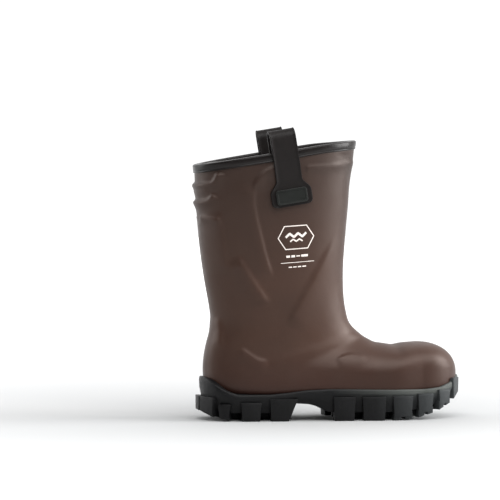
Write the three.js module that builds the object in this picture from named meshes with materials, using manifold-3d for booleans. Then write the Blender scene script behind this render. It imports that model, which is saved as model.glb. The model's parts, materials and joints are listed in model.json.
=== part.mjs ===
// Pull-on rigger-style safety boot for a right foot: a moulded upper on a cleated sole, with a steel toe
// cap and a steel midsole plate inside it, and a pull loop on each side of its collar.
// Millimetres, +Z up, toe towards +X, inner side of the foot towards +Y, lugs standing on Z = 0.
import * as THREE from "three";
import { mergeVertices } from "three/addons/utils/BufferGeometryUtils.js";
import Module from "manifold-3d";

const wasm = await Module();
wasm.setup();

// ---------------------------------------------------------------- driving dimensions, mm

// Upper, measured on its outer face
const footLength = 302; // heel to toe
const heelBack = 5.5; // upper's heel ahead of the sole's rear edge
const rimFrontHeight = 328;
const rimDip = 31; // rim's back below its front
const instepHeight = 120; // where shaft and foot meet, in front
const heelNeckHeight = 107; // and behind
const toeTipHeight = 50;
const toeRoundness = 2.4; // superellipse power of the toe, seen from above

// Layers, from the outer face inwards
const gap = 0.3; // between any two pieces that touch
const shaftWall = 4;
const toeSkin = 3.2; // upper over the toe cap
const capThickness = 2;
const footWall = toeSkin + gap + capThickness; // the cap lies in a pocket of this wall
const liningThickness = 2;
const plateThickness = 1.1; // steel midsole plate
const boardThickness = 2;
const footbedThickness = 5;

// Steel toe cap
const capLength = 60; // toe tip to rear edge
const capFlange = 11; // width of its inturned lower edge
const stripWidth = 12; // cushion strip behind the cap
const stripHeight = 14; // strip's ends, above the upper's floor

// Collar binding
const bindingSkin = 1.3;
const bindingDrop = 7; // how far it reaches down the wall
const bindingCrown = 3.2; // how far it stands above the wall

// Pull loops
const loopPlace = 0.523; // share of the rim from its back to the loop's middle
const loopDrop = 50; // stud below the rim
const loopRise = 29; // loop's top above the rim
const loopWidth = 31;
const loopThickness = 2.4;
const loopArchRadius = 8.4; // of its middle line
const loopRimClearance = 1.5; // outer leg to the binding
const tabWidth = 49;
const tabHeight = 28;
const tabFillet = 7;
const loopTail = 13; // inner leg's end below the stud
const loopInnerClearance = 3.2; // inner leg to the lining
const studDiameter = 6;
const anchorWidth = 37;
const anchorHeight = 19;
const anchorThickness = 2;
const retainerWidth = 26;
const retainerHeight = 16;
const retainerThickness = 1.6;

// Sole
const weltWidth = 3.2; // sidewall outside the upper
const weltChamfer = 1.6;
const lugStand = 3.6; // lugs outside the sidewall
const lugReach = 17; // lugs under the tread, from the sidewall inwards
const lugBevel = 3.4;
const lugTaper = 1.6; // narrower at the ground, each end
const lugRoot = 2; // how far a tread block is sunk into the sole

// Fineness of the lofted surfaces
const segments = 24;
const bodyRings = 23;
const toeAngles = [16, 32, 48, 63, 77];

// ---------------------------------------------------------------- the last: the boot's outer form

// Lengths below are drawn for this upper, and stretch with footLength.
const drawnLength = 302;
const along = (x) => heelBack + ((x - heelBack) * footLength) / drawnLength;
const toeTip = along(heelBack + drawnLength);
const toeStart = along(262);

// Shaft stations from the rim down: share of the rise from the instep, front, back, half width.
const shaftStations = [
  [1, 187, -3.5, 52],
  [0.78, 182.3, -1.5, 51],
  [0.525, 177, 2.4, 48],
  [0.31, 173.3, 8, 45],
  [0.12, 173.8, 14.5, 42.5],
  [0, 178, 15.5, 41],
].map(([rise, front, back, half]) => ({
  front: [along(front), THREE.MathUtils.lerp(instepHeight, rimFrontHeight, rise)],
  back: [along(back), THREE.MathUtils.lerp(heelNeckHeight, rimFrontHeight - rimDip, rise)],
  half,
  shift: 0,
  frontRound: 0.92,
  backRound: 0.86,
}));

// Foot stations, fanning round the instep: top x, z, then heel or sole x, z, half width, sideways shift
// of the middle, and the superellipse powers of the top and of the sole end.
const footStations = [
  [182, 111, 10.5, 84, 41, 0, 0.92, 0.82],
  [187, 105.5, 6.5, 61, 41.5, 0, 0.95, 0.78],
  [192, 101, 9, 42, 42, -1, 0.95, 0.7],
  [197, 97, 22, 29, 42.5, -1, 0.95, 0.55],
  [203, 93.5, 60, 26, 43, -2, 0.95, 0.38],
  [210, 90, 110, 26, 44, -3, 0.95, 0.36],
  [219, 88.5, 162, 20.5, 47, -2, 0.95, 0.38],
  [230, 88, 205, 18, 51, 0, 0.92, 0.4],
  [243, 89.3, 235, 20, 53, 2, 0.85, 0.42],
  [262, 90.7, 262, 24.5, 51, 5, 0.78, 0.42],
].map(([topX, topZ, soleX, soleZ, half, shift, frontRound, backRound]) => ({
  front: [along(topX), topZ],
  back: [along(soleX), soleZ],
  half,
  shift,
  frontRound,
  backRound,
}));
const tipShift = 9; // toe tip's sideways shift

const stations = [...shaftStations, ...footStations];
const smooth = (pick) => new THREE.CatmullRomCurve3(stations.map(pick), false, "catmullrom", 0.5);
const frontLine = smooth((s) => new THREE.Vector3(s.front[0], 0, s.front[1]));
const backLine = smooth((s) => new THREE.Vector3(s.back[0], 0, s.back[1]));
const girthLine = smooth((s) => new THREE.Vector3(s.half, s.shift, 0));
const roundLine = smooth((s) => new THREE.Vector3(s.frontRound, s.backRound, 0));

function ringPoints(front, back, half, shift, frontRound, backRound) {
  const points = [];
  for (let k = 0; k < segments; k += 1) {
    const turn = (2 * Math.PI * k) / segments;
    const power = Math.cos(turn) >= 0 ? frontRound : backRound;
    const lengthwise = Math.sign(Math.cos(turn)) * Math.abs(Math.cos(turn)) ** power;
    const sideways = Math.sign(Math.sin(turn)) * Math.abs(Math.sin(turn)) ** power;
    const point = front.clone().add(back).multiplyScalar(0.5);
    point.addScaledVector(front.clone().sub(back), 0.5 * lengthwise);
    point.y = shift + half * sideways;
    points.push(point);
  }
  return points;
}

function bodyRing(share) {
  const girth = girthLine.getPoint(share);
  const round = roundLine.getPoint(share);
  return ringPoints(frontLine.getPoint(share), backLine.getPoint(share), girth.x, girth.y, round.x, round.y);
}

function toeRing(degrees) {
  const turn = THREE.MathUtils.degToRad(degrees);
  const last = footStations[footStations.length - 1];
  const x = toeStart + (toeTip - toeStart) * Math.sin(turn);
  const top = new THREE.Vector3(x, 0, toeTipHeight + (last.front[1] - toeTipHeight) * Math.cos(turn));
  const sole = new THREE.Vector3(x, 0, toeTipHeight + (last.back[1] - toeTipHeight) * Math.cos(turn));
  const narrowing = (1 - Math.sin(turn) ** toeRoundness) ** (1 / toeRoundness);
  const shift = THREE.MathUtils.lerp(last.shift, tipShift, Math.sin(turn));
  return ringPoints(top, sole, last.half * narrowing, shift, last.frontRound, last.backRound);
}

const formRings = [];
for (let i = 0; i < bodyRings; i += 1) {
  formRings.push(bodyRing(i / (bodyRings - 1)));
}
for (const degrees of toeAngles) {
  formRings.push(toeRing(degrees));
}
const formTip = new THREE.Vector3(toeTip, tipShift, toeTipHeight);
const ankleRing = Math.round(((shaftStations.length - 1) / (stations.length - 1)) * (bodyRings - 1));

// Each ring point's outward direction, lengthened so that an offset keeps its distance from the faces.
function faceNormal(a, b, c) {
  return b.clone().sub(a).cross(c.clone().sub(a)).normalize();
}

// Round the rim the offset stays in the rim's own plane, so that every layer ends level there.
const rimSquare = formRings[0][0].clone().sub(formRings[0][segments / 2]);
rimSquare.cross(new THREE.Vector3(0, 1, 0)).normalize();

function inRimPlane(direction) {
  const level = direction.clone().addScaledVector(rimSquare, -direction.dot(rimSquare));
  return level.divideScalar(level.dot(direction));
}

function pointNormals() {
  const quadNormals = formRings.map((ring, i) => {
    const next = i + 1 < formRings.length ? formRings[i + 1] : ring.map(() => formTip);
    return ring.map((point, k) => faceNormal(point, ring[(k + 1) % segments], next[k]));
  });
  return formRings.map((ring, i) =>
    ring.map((_, k) => {
      const before = (k + segments - 1) % segments;
      const around = [quadNormals[i][k], quadNormals[i][before]];
      if (i > 0) {
        around.push(quadNormals[i - 1][k], quadNormals[i - 1][before]);
      }
      const mean = around.reduce((sum, n) => sum.add(n), new THREE.Vector3());
      mean.normalize();
      const spread = around.reduce((sum, n) => sum + n.dot(mean), 0) / around.length;
      const level = i === 0 ? inRimPlane(mean) : mean;
      return level.divideScalar(Math.max(spread, 0.8));
    }),
  );
}
const normals = pointNormals();
const outwards = normals[0][0].x > 0 ? 1 : -1;

const layerPoint = (i, k, depth) => formRings[i][k].clone().addScaledVector(normals[i][k], -depth * outwards);

// The boot's form shrunk by a depth, which is a number or a function of the ring; negative grows it.
function layer(depth) {
  const depthAt = typeof depth === "function" ? depth : () => depth;
  const rings = formRings.map((ring, i) => ring.map((_, k) => layerPoint(i, k, depthAt(i))));
  const tip = formTip.clone();
  tip.x -= depthAt(formRings.length - 1);
  return { rings, tip };
}

// The upper's wall from the shaft down into the foot
function wallAt(ring) {
  return THREE.MathUtils.lerp(shaftWall, footWall, THREE.MathUtils.smoothstep(ring, ankleRing - 3, ankleRing));
}

// ---------------------------------------------------------------- solids

function signedVolume(positions, indices) {
  const corner = (n) => new THREE.Vector3().fromArray(positions, 3 * indices[n]);
  let volume = 0;
  for (let n = 0; n < indices.length; n += 3) {
    volume += corner(n).dot(corner(n + 1).cross(corner(n + 2))) / 6;
  }
  return volume;
}

// A closed solid from its points and triangles, turned inside out if its faces point inwards
function solidFromTriangles(positions, indices) {
  const triangles = Uint32Array.from(indices);
  if (signedVolume(positions, triangles) < 0) {
    triangles.reverse();
  }
  const vertProperties = Float32Array.from(positions);
  return new wasm.Manifold(new wasm.Mesh({ numProp: 3, vertProperties, triVerts: triangles }));
}

function solidFromGeometry(geometry) {
  const bare = geometry.index ? geometry.toNonIndexed() : geometry.clone();
  bare.deleteAttribute("normal");
  bare.deleteAttribute("uv");
  const merged = mergeVertices(bare, 1e-4);
  return solidFromTriangles(merged.attributes.position.array, merged.index.array);
}

// Skin over rings of equal length. Each end closes on a point, its own middle unless one is given.
function solidFromRings(rings, startPoint, endPoint) {
  const count = rings[0].length;
  const positions = rings.flatMap((ring) => ring.flatMap((p) => p.toArray()));
  const middle = (ring) => ring.reduce((sum, p) => sum.add(p), new THREE.Vector3()).divideScalar(count);
  const start = startPoint ?? middle(rings[0]);
  const end = endPoint ?? middle(rings[rings.length - 1]);
  positions.push(...start.toArray(), ...end.toArray());
  const startIndex = rings.length * count;
  const lastRing = (rings.length - 1) * count;
  const indices = [];
  for (let k = 0; k < count; k += 1) {
    const next = (k + 1) % count;
    for (let i = 0; i + 1 < rings.length; i += 1) {
      const a = i * count + k;
      const b = i * count + next;
      indices.push(a, b, a + count, b, b + count, a + count);
    }
    indices.push(next, k, startIndex, lastRing + k, lastRing + next, startIndex + 1);
  }
  return solidFromTriangles(positions, indices);
}

// Skin over rings that follow each other round a closed path
function solidFromHoop(rings) {
  const count = rings[0].length;
  const positions = rings.flatMap((ring) => ring.flatMap((p) => p.toArray()));
  const indices = [];
  rings.forEach((_, i) => {
    const nextRing = (i + 1) % rings.length;
    for (let k = 0; k < count; k += 1) {
      const next = (k + 1) % count;
      const a = i * count + k;
      const b = i * count + next;
      const c = nextRing * count + k;
      const d = nextRing * count + next;
      indices.push(a, b, c, b, d, c);
    }
  });
  return solidFromTriangles(positions, indices);
}

const layerSolid = (depth) => {
  const { rings, tip } = layer(depth);
  return solidFromRings(rings, undefined, tip);
};

// The same, run on past the rim, to cut a cavity that is open at the top
const ringMiddle = (i) => formRings[i][0].clone().add(formRings[i][segments / 2]).multiplyScalar(0.5);
const rimDirection = ringMiddle(0).sub(ringMiddle(1)).normalize();
const pastRim = 30;

function plugSolid(depth) {
  const { rings, tip } = layer(depth);
  const raised = rings[0].map((p) => p.clone().addScaledVector(rimDirection, pastRim));
  return solidFromRings([raised, ...rings], undefined, tip);
}

const farOut = 500;

function box(minX, maxX, minZ, maxZ) {
  const geometry = new THREE.BoxGeometry(maxX - minX, 2 * farOut, maxZ - minZ);
  geometry.translate((minX + maxX) / 2, 0, (minZ + maxZ) / 2);
  return solidFromGeometry(geometry);
}

// A shape drawn in x and z, carried straight across from y0 to y1
function acrossSolid(points, y0, y1) {
  const shape = new THREE.Shape(points.map(([x, z]) => new THREE.Vector2(x, z)));
  const geometry = new THREE.ExtrudeGeometry(shape, { depth: y1 - y0, bevelEnabled: false });
  geometry.rotateX(Math.PI / 2);
  geometry.translate(0, y1, 0);
  return solidFromGeometry(geometry);
}

// ---------------------------------------------------------------- floor of the upper

const soleRing = 4 + shaftStations.length; // first station whose lower end lies under the foot
const floorStart = (soleRing - 1) / (stations.length - 1);
const floorLine = layer(0)
  .rings.map((ring) => ring[segments / 2])
  .filter((p, i) => i >= Math.floor(floorStart * (bodyRings - 1)))
  .map((p) => [p.x, p.z]);

// Everything lower than a height above the upper's own floor
function underFloor(height) {
  const edge = floorLine.map(([x, z]) => [x, z + height]);
  const first = edge[0];
  const last = edge[edge.length - 1];
  const below = [[-farOut, -farOut], [farOut, -farOut], [farOut, last[1]]];
  return acrossSolid([...below, ...edge.reverse(), [-farOut, first[1]]], -farOut, farOut);
}

const plateTop = footWall + gap + plateThickness;
const boardTop = plateTop + gap + boardThickness;
const footbedTop = boardTop + gap + footbedThickness;
const liningDepth = (ring) => wallAt(ring) + gap;
const liningInside = (ring) => liningDepth(ring) + liningThickness;

// ---------------------------------------------------------------- pull loops and what holds them

const rimFront = new THREE.Vector2(...stations[0].front);
const rimBack = new THREE.Vector2(...stations[0].back);
const rimTilt = Math.atan2(rimFront.y - rimBack.y, rimFront.x - rimBack.x);
const rimAtLoop = rimBack.clone().lerp(rimFront, loopPlace);
const studX = rimAtLoop.x + Math.sin(rimTilt) * loopDrop;
const studZ = rimAtLoop.y - Math.cos(rimTilt) * loopDrop;

// How far the outer face stands from the middle plane where a line straight across meets it, on the shaft
function halfWidthAt(x, z) {
  const steps = 400;
  for (let n = 0; n <= steps; n += 1) {
    const front = frontLine.getPoint(n / steps);
    const back = backLine.getPoint(n / steps);
    const lengthwise = (x - back.x) / (front.x - back.x);
    if (THREE.MathUtils.lerp(back.z, front.z, lengthwise) <= z) {
      const round = roundLine.getPoint(n / steps);
      const power = lengthwise > 0.5 ? round.x : round.y;
      return girthLine.getPoint(n / steps).x * (1 - Math.abs(2 * lengthwise - 1) ** (2 / power)) ** (power / 2);
    }
  }
  return 0;
}
const rimHalf = halfWidthAt(rimAtLoop.x, rimAtLoop.y);
const studHalf = halfWidthAt(studX, studZ);
const strapMiddle = [(studX + rimAtLoop.x) / 2, (studZ + rimAtLoop.y) / 2];
const halfAhead = halfWidthAt(strapMiddle[0] + loopWidth / 2, strapMiddle[1]);
const halfBehind = halfWidthAt(strapMiddle[0] - loopWidth / 2, strapMiddle[1]);
const wallSlope = (halfAhead - halfBehind) / loopWidth;

// The strap's middle line in its own frame: outwards from the upper's face at the stud, up the strap
const wallTotal = shaftWall + gap + liningThickness;
const tabOut = gap + 0.9 + loopThickness / 2;
const rimOut = rimHalf - studHalf + gap + bindingSkin + loopRimClearance + loopThickness / 2;
const innerOut = rimOut - 2 * loopArchRadius;
const tailOut = -wallTotal - loopInnerClearance - loopThickness / 2;
const archHeight = loopDrop + loopRise - loopArchRadius - loopThickness / 2;

function strapPath() {
  const path = new THREE.Path();
  path.moveTo(tabOut, -tabHeight / 2);
  path.lineTo(tabOut, tabHeight / 2);
  path.lineTo(rimOut, loopDrop - bindingDrop);
  path.lineTo(rimOut, archHeight);
  path.absarc(rimOut - loopArchRadius, archHeight, loopArchRadius, 0, Math.PI, false);
  path.lineTo(innerOut, loopDrop - bindingDrop);
  path.lineTo(tailOut, loopTail);
  path.lineTo(tailOut, -loopTail);
  return path.getPoints(5).filter((p, i, all) => i === 0 || p.distanceTo(all[i - 1]) > 0.01);
}

// Both edges of a band of even thickness along a path
function bandOutline(path, thickness) {
  const edges = [[], []];
  path.forEach((point, i) => {
    const before = path[Math.max(i - 1, 0)];
    const after = path[Math.min(i + 1, path.length - 1)];
    const entering = point.clone().sub(before).normalize();
    const leaving = after.clone().sub(point).normalize();
    const direction = entering.add(leaving).normalize();
    const half = thickness / 2;
    edges[0].push([point.x + direction.y * half, point.y - direction.x * half]);
    edges[1].unshift([point.x - direction.y * half, point.y + direction.x * half]);
  });
  return [...edges[0], ...edges[1]];
}

function tabShape() {
  const corner = 5;
  const halfTab = tabWidth / 2;
  const halfLeg = loopWidth / 2;
  const top = tabHeight / 2;
  const shape = new THREE.Shape();
  shape.moveTo(halfLeg, top + tabFillet);
  shape.quadraticCurveTo(halfLeg, top, halfLeg + tabFillet / 2, top);
  shape.lineTo(halfTab - corner, top);
  shape.quadraticCurveTo(halfTab, top, halfTab, top - corner);
  shape.lineTo(halfTab, corner - top);
  shape.quadraticCurveTo(halfTab, -top, halfTab - corner, -top);
  shape.lineTo(corner - halfTab, -top);
  shape.quadraticCurveTo(-halfTab, -top, -halfTab, corner - top);
  shape.lineTo(-halfTab, top - corner);
  shape.quadraticCurveTo(-halfTab, top, corner - halfTab, top);
  shape.lineTo(-halfLeg - tabFillet / 2, top);
  shape.quadraticCurveTo(-halfLeg, top, -halfLeg, top + tabFillet);
  return shape;
}

function roundedPlate(width, height, radius) {
  const shape = new THREE.Shape();
  const corners = [[1, 1, 0], [-1, 1, 0.5], [-1, -1, 1], [1, -1, 1.5]];
  corners.forEach(([sx, sz, start]) => {
    const x = sx * (width / 2 - radius);
    const z = sz * (height / 2 - radius);
    shape.absarc(x, z, radius, start * Math.PI, (start + 0.5) * Math.PI, false);
  });
  return shape;
}

// The strap's own frame: x along its width, y outwards, z up. A plate there is drawn in x and z.
function plateGeometry(shape, from, to, curveSegments = 3) {
  const geometry = new THREE.ExtrudeGeometry(shape, { depth: to - from, bevelEnabled: false, curveSegments });
  geometry.rotateX(Math.PI / 2);
  geometry.translate(0, to, 0);
  return geometry;
}

function roundBar(diameter, from, to) {
  const geometry = new THREE.CylinderGeometry(diameter / 2, diameter / 2, to - from, 16);
  geometry.translate(0, (from + to) / 2, 0);
  return geometry;
}

// Takes a solid from the strap's frame to the boot: side is -1 on the outer side of the foot, 1 on the inner.
function onSide(side, geometry) {
  const placed = geometry.clone();
  if (side < 0) {
    placed.rotateZ(Math.PI);
  }
  placed.rotateY(-rimTilt);
  placed.rotateZ(side * Math.atan(wallSlope));
  placed.translate(studX, side * studHalf, studZ);
  return solidFromGeometry(placed);
}

function loopSolid(side) {
  const outline = bandOutline(strapPath(), loopThickness).map(([y, z]) => new THREE.Vector2(z, y));
  const band = new THREE.ExtrudeGeometry(new THREE.Shape(outline), { depth: loopWidth, bevelEnabled: false });
  band.translate(0, 0, -loopWidth / 2);
  band.applyMatrix4(new THREE.Matrix4().set(0, 0, 1, 0, 0, 1, 0, 0, 1, 0, 0, 0, 0, 0, 0, 1));
  const halfThickness = loopThickness / 2;
  const tab = plateGeometry(tabShape(), tabOut - halfThickness, tabOut + halfThickness);
  const hole = roundBar(studDiameter + 2 * gap, tailOut - 10, tabOut + 10);
  return onSide(side, band).add(onSide(side, tab)).subtract(onSide(side, hole));
}

const anchorInner = tabOut + loopThickness / 2 + gap;
const retainerOuter = tailOut - loopThickness / 2 - gap;
const studEnd = retainerOuter - retainerThickness;

function anchorSolid(side) {
  const outline = roundedPlate(anchorWidth, anchorHeight, 2.5);
  const plate = plateGeometry(outline, anchorInner, anchorInner + anchorThickness);
  const stud = roundBar(studDiameter, studEnd, anchorInner + anchorThickness / 2);
  return onSide(side, plate).add(onSide(side, stud));
}

function retainerSolid(side) {
  const plate = plateGeometry(roundedPlate(retainerWidth, retainerHeight, 3), studEnd, retainerOuter);
  const hole = roundBar(studDiameter + 2 * gap, studEnd - 5, retainerOuter + 5);
  return onSide(side, plate).subtract(onSide(side, hole));
}

const studHole = (side) => onSide(side, roundBar(studDiameter + 2 * gap, -wallTotal - 6, 6));

// ---------------------------------------------------------------- upper, lining and what is inside

const pocketRear = toeTip - capLength - gap - stripWidth - gap;

function upperSolid() {
  const pocket = plugSolid(toeSkin).intersect(box(pocketRear, farOut, -farOut, farOut));
  const hollow = plugSolid(wallAt).add(pocket);
  return layerSolid(0).subtract(hollow).subtract(studHole(-1)).subtract(studHole(1));
}

function liningSolid() {
  const tube = layerSolid(liningDepth).subtract(plugSolid(liningInside));
  return tube.subtract(underFloor(boardTop + gap)).subtract(studHole(-1)).subtract(studHole(1));
}

const capLayer = () => layerSolid(toeSkin + gap).subtract(plugSolid(toeSkin + gap + capThickness));

function toeCapSolid() {
  const dome = capLayer().intersect(box(toeTip - capLength, farOut, -farOut, farOut));
  const opening = layer(toeSkin + gap + capFlange);
  const lower = (p) => p.clone().setZ(p.z - capFlange - capThickness);
  const lowered = opening.rings.map((ring) => ring.map(lower));
  return dome.subtract(solidFromRings(lowered, undefined, lower(opening.tip)));
}

function capStripSolid() {
  const front = toeTip - capLength - gap;
  const band = capLayer().intersect(box(front - stripWidth, front, -farOut, farOut));
  return band.subtract(underFloor(stripHeight));
}

function floorLayer(depth, from, to) {
  return layerSolid(depth).intersect(underFloor(to)).subtract(underFloor(from));
}

const plateSolid = () => layerSolid(footWall + gap).intersect(underFloor(plateTop));
const boardSolid = () => floorLayer(footWall + gap, plateTop + gap, boardTop);
const footbedSolid = () => floorLayer((ring) => liningInside(ring) + gap, boardTop + gap, footbedTop);

// The binding's U section: outwards from the wall's outer face, and up from its rim
const bindingSection = [
  [gap, -bindingDrop],
  [gap + bindingSkin, 1 - bindingDrop],
  [gap + bindingSkin, bindingCrown - 2.4],
  [gap + bindingSkin - 1.2, bindingCrown - 0.6],
  [gap - 1.2, bindingCrown],
  [1.2 - wallTotal - gap, bindingCrown],
  [1.2 - wallTotal - gap - bindingSkin, bindingCrown - 0.6],
  [-wallTotal - gap - bindingSkin, bindingCrown - 2.4],
  [-wallTotal - gap - bindingSkin, 1 - bindingDrop],
  [-wallTotal - gap, -bindingDrop],
  [-wallTotal - gap, gap],
  [gap, gap],
];

function bindingSolid() {
  const rings = formRings[0].map((_, k) =>
    bindingSection.map(([out, up]) => {
      const point = layerPoint(0, k, -out);
      if (up > 0) {
        return point.addScaledVector(rimDirection, up);
      }
      const below = layerPoint(1, k, -out);
      const spacing = below.distanceTo(point);
      return point.lerp(below, -up / spacing);
    }),
  );
  return solidFromHoop(rings);
}

// ---------------------------------------------------------------- sole

// Height of a line drawn as [x, z] points, at any x
function heightOn(line, x) {
  const places = line.map(([px, pz]) => [along(px), pz]);
  const after = places.findIndex(([px]) => px >= x);
  if (after === 0) {
    return places[0][1];
  }
  if (after < 0) {
    return places[places.length - 1][1];
  }
  const [x0, z0] = places[after - 1];
  const [x1, z1] = places[after];
  return THREE.MathUtils.mapLinear(x, x0, x1, z0, z1);
}

// Upper edge of the sidewall, underside between the lugs, and the lugs' feet
const weltLine = [
  [2, 53], [8, 51], [16, 46.5], [28, 38], [42, 32], [80, 31], [100, 33], [122, 36],
  [150, 37.4], [223, 36], [268, 37], [286, 40.5], [298, 46], [309, 54],
];
const treadLine = [
  [2, 17], [12, 12.5], [25, 9.5], [82, 9], [97, 12], [108, 20.5], [128, 19.5], [144, 16],
  [155, 10], [200, 9], [240, 9.5], [262, 13], [285, 20], [300, 29], [309, 36],
];
const groundLine = [
  [-3, 15], [2, 12], [7, 8.5], [14, 5.5], [24, 2.8], [34, 1.2], [44, 0], [238, 0],
  [248, 1.6], [260, 4.2], [272, 8], [284, 13.5], [295, 20], [304, 27], [312, 34],
];

const heelRound = along(48); // where the heel's round end begins
const soleRear = heelBack - weltWidth;
const soleTip = toeTip + weltWidth * 0.6;
const heelRoundness = 2.3;

const floorGirth = Array.from({ length: 60 }, (_, n) => {
  const share = THREE.MathUtils.lerp(floorStart, 1, n / 59);
  const girth = girthLine.getPoint(share);
  return [backLine.getPoint(share).x, girth.x, girth.y];
});

// Half width and middle of the sidewall in plan
function soleGirth(x) {
  const inside = THREE.MathUtils.clamp(x, heelRound, toeStart);
  const after = Math.max(floorGirth.findIndex(([px]) => px >= inside), 1);
  const [x0, half0, shift0] = floorGirth[after - 1];
  const [x1, half1, shift1] = floorGirth[after];
  const share = (inside - x0) / (x1 - x0);
  let half = THREE.MathUtils.lerp(half0, half1, share) + weltWidth;
  let shift = THREE.MathUtils.lerp(shift0, shift1, share);
  if (x < heelRound) {
    const reach = Math.min((heelRound - x) / (heelRound - soleRear), 1);
    half *= (1 - reach ** heelRoundness) ** (1 / heelRoundness);
  }
  if (x > toeStart) {
    const reach = Math.min((x - toeStart) / (soleTip - toeStart), 1);
    half *= (1 - reach ** toeRoundness) ** (1 / toeRoundness);
    shift = THREE.MathUtils.lerp(shift, tipShift, reach);
  }
  return { half, shift };
}

function sidewallPoint(x, side) {
  const { half, shift } = soleGirth(x);
  return new THREE.Vector2(x, shift + side * half);
}

// Places along the sole, closer together where its ends turn round
function soleStops() {
  const stops = [];
  for (const degrees of [84, 72, 58, 42, 22]) {
    stops.push(heelRound - (heelRound - soleRear) * Math.sin(THREE.MathUtils.degToRad(degrees)));
  }
  for (const x of [48, 66, 84, 97, 108, 118, 132, 144, 155, 175, 200, 222, 242]) {
    stops.push(along(x));
  }
  for (const degrees of [0, 20, 38, 54, 68, 78, 85]) {
    stops.push(toeStart + (soleTip - toeStart) * Math.sin(THREE.MathUtils.degToRad(degrees)));
  }
  return stops;
}

function soleBody() {
  const rings = soleStops().map((x) => {
    const { half, shift } = soleGirth(x);
    const top = heightOn(weltLine, x);
    const bottom = heightOn(treadLine, x);
    const corners = [
      [half - weltChamfer, bottom],
      [half, bottom + weltChamfer],
      [half, top - weltChamfer],
      [half - weltChamfer, top],
    ];
    const right = corners.map(([y, z]) => new THREE.Vector3(x, shift + Math.max(y, 1), z));
    const left = corners.reverse().map(([y, z]) => new THREE.Vector3(x, shift - Math.max(y, 1), z));
    return [...right, ...left];
  });
  return solidFromRings(rings);
}

// Lugs along each side, from heel to toe: from x, to x, top, and how much the front face leans back
const sideLugs = [
  [3, 16, 34, 0],
  [20, 33, 20, 0],
  [45, 69, 22, 0],
  [79, 112, 26, 9],
  [154, 180, 28, 0],
  [188, 216, 28, 0],
  [224, 248, 28.5, 0],
  [254, 273, 31, 0],
  [279, 294, 35, 0],
  [299, 308.4, 48, 0],
];

// A block between two points of the sidewall, standing out from it and reaching under the tread
function edgeLug(from, to, top, lean, fromGround, toGround) {
  const chord = to.clone().sub(from);
  const length = chord.length();
  const outward = new THREE.Vector2(chord.y, -chord.x).normalize();
  const section = [[-lugReach, 0], [lugStand, 0], [lugStand, top - lugBevel], [lugStand - lugBevel, top]];
  section.push([-lugReach, top]);
  const shape = new THREE.Shape(section.map(([out, z]) => new THREE.Vector2(out, z)));
  const geometry = new THREE.ExtrudeGeometry(shape, { depth: 1, bevelEnabled: false });
  const position = geometry.attributes.position;
  for (let n = 0; n < position.count; n += 1) {
    const out = position.getX(n);
    const foot = position.getY(n) === 0;
    const end = position.getZ(n);
    const narrowing = foot ? lugTaper : 0;
    const along2 = THREE.MathUtils.lerp(narrowing, length - narrowing - (foot ? lean : 0), end);
    const place = from.clone().addScaledVector(chord, along2 / length).addScaledVector(outward, out);
    const z = foot ? THREE.MathUtils.lerp(fromGround, toGround, end) : position.getY(n);
    position.setXYZ(n, place.x, place.y, z);
  }
  return solidFromGeometry(geometry);
}

function sideLugSolids() {
  const solids = [];
  for (const [fromX, toX, top, lean] of sideLugs) {
    const [x0, x1] = [along(fromX), along(toX)];
    const grounds = [heightOn(groundLine, x0), heightOn(groundLine, x1)];
    const [outer0, outer1] = [sidewallPoint(x0, -1), sidewallPoint(x1, -1)];
    const [inner0, inner1] = [sidewallPoint(x0, 1), sidewallPoint(x1, 1)];
    solids.push(edgeLug(outer0, outer1, top, lean, ...grounds));
    const mirrored = edgeLug(inner0.setY(-inner0.y), inner1.setY(-inner1.y), top, lean, ...grounds);
    solids.push(mirrored.mirror([0, 1, 0]));
  }
  return solids;
}

function heelBackLug() {
  const x = soleRear + 0.6;
  const half = 15;
  const { shift } = soleGirth(heelRound);
  const ground = heightOn(groundLine, x);
  const [left, right] = [new THREE.Vector2(x, shift + half), new THREE.Vector2(x, shift - half)];
  return edgeLug(left, right, sideLugs[0][2], 0, ground, ground);
}

// Tread blocks: rows of lightning-shaped blocks between the side lugs
const treadRows = { heel: [24, 41, 58, 75, 92], fore: [168, 185, 202, 219, 236, 253, 270] };
const blockLength = 11;
const blockGap = 5;

function treadBlock(x, y, width, slant) {
  const half = width / 2;
  const outline = [
    [x - blockLength / 2, y - half],
    [x + blockLength / 2 - slant, y - half],
    [x + blockLength / 2, y - 1],
    [x + blockLength / 2, y + half],
    [x - blockLength / 2 + slant, y + half],
    [x - blockLength / 2, y + 1],
  ];
  const shape = new THREE.Shape(outline.map(([px, py]) => new THREE.Vector2(px, py)));
  const geometry = new THREE.ExtrudeGeometry(shape, { depth: 1, bevelEnabled: false });
  const position = geometry.attributes.position;
  for (let n = 0; n < position.count; n += 1) {
    const px = position.getX(n);
    const foot = position.getZ(n) === 0;
    position.setZ(n, foot ? heightOn(groundLine, px) : heightOn(treadLine, px) + lugRoot);
  }
  return solidFromGeometry(geometry);
}

function treadSolids() {
  const solids = [];
  for (const rows of Object.values(treadRows)) {
    rows.forEach((drawn, row) => {
      const x = along(drawn);
      const { half, shift } = soleGirth(x);
      const field = 2 * (half - lugReach - blockGap);
      const count = Math.max(Math.round(field / 22), 1);
      const width = field / count - blockGap;
      for (let n = 0; n < count; n += 1) {
        const y = shift - field / 2 + (n + 0.5) * (field / count);
        solids.push(treadBlock(x, y, width, row % 2 === 0 ? 4 : -4));
      }
    });
  }
  return solids;
}

function outsoleSolid() {
  const blocks = [...sideLugSolids(), heelBackLug(), ...treadSolids()];
  const sole = blocks.reduce((sum, block) => sum.add(block), soleBody());
  return sole.subtract(layerSolid(-gap));
}

// ---------------------------------------------------------------- the boot

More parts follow.
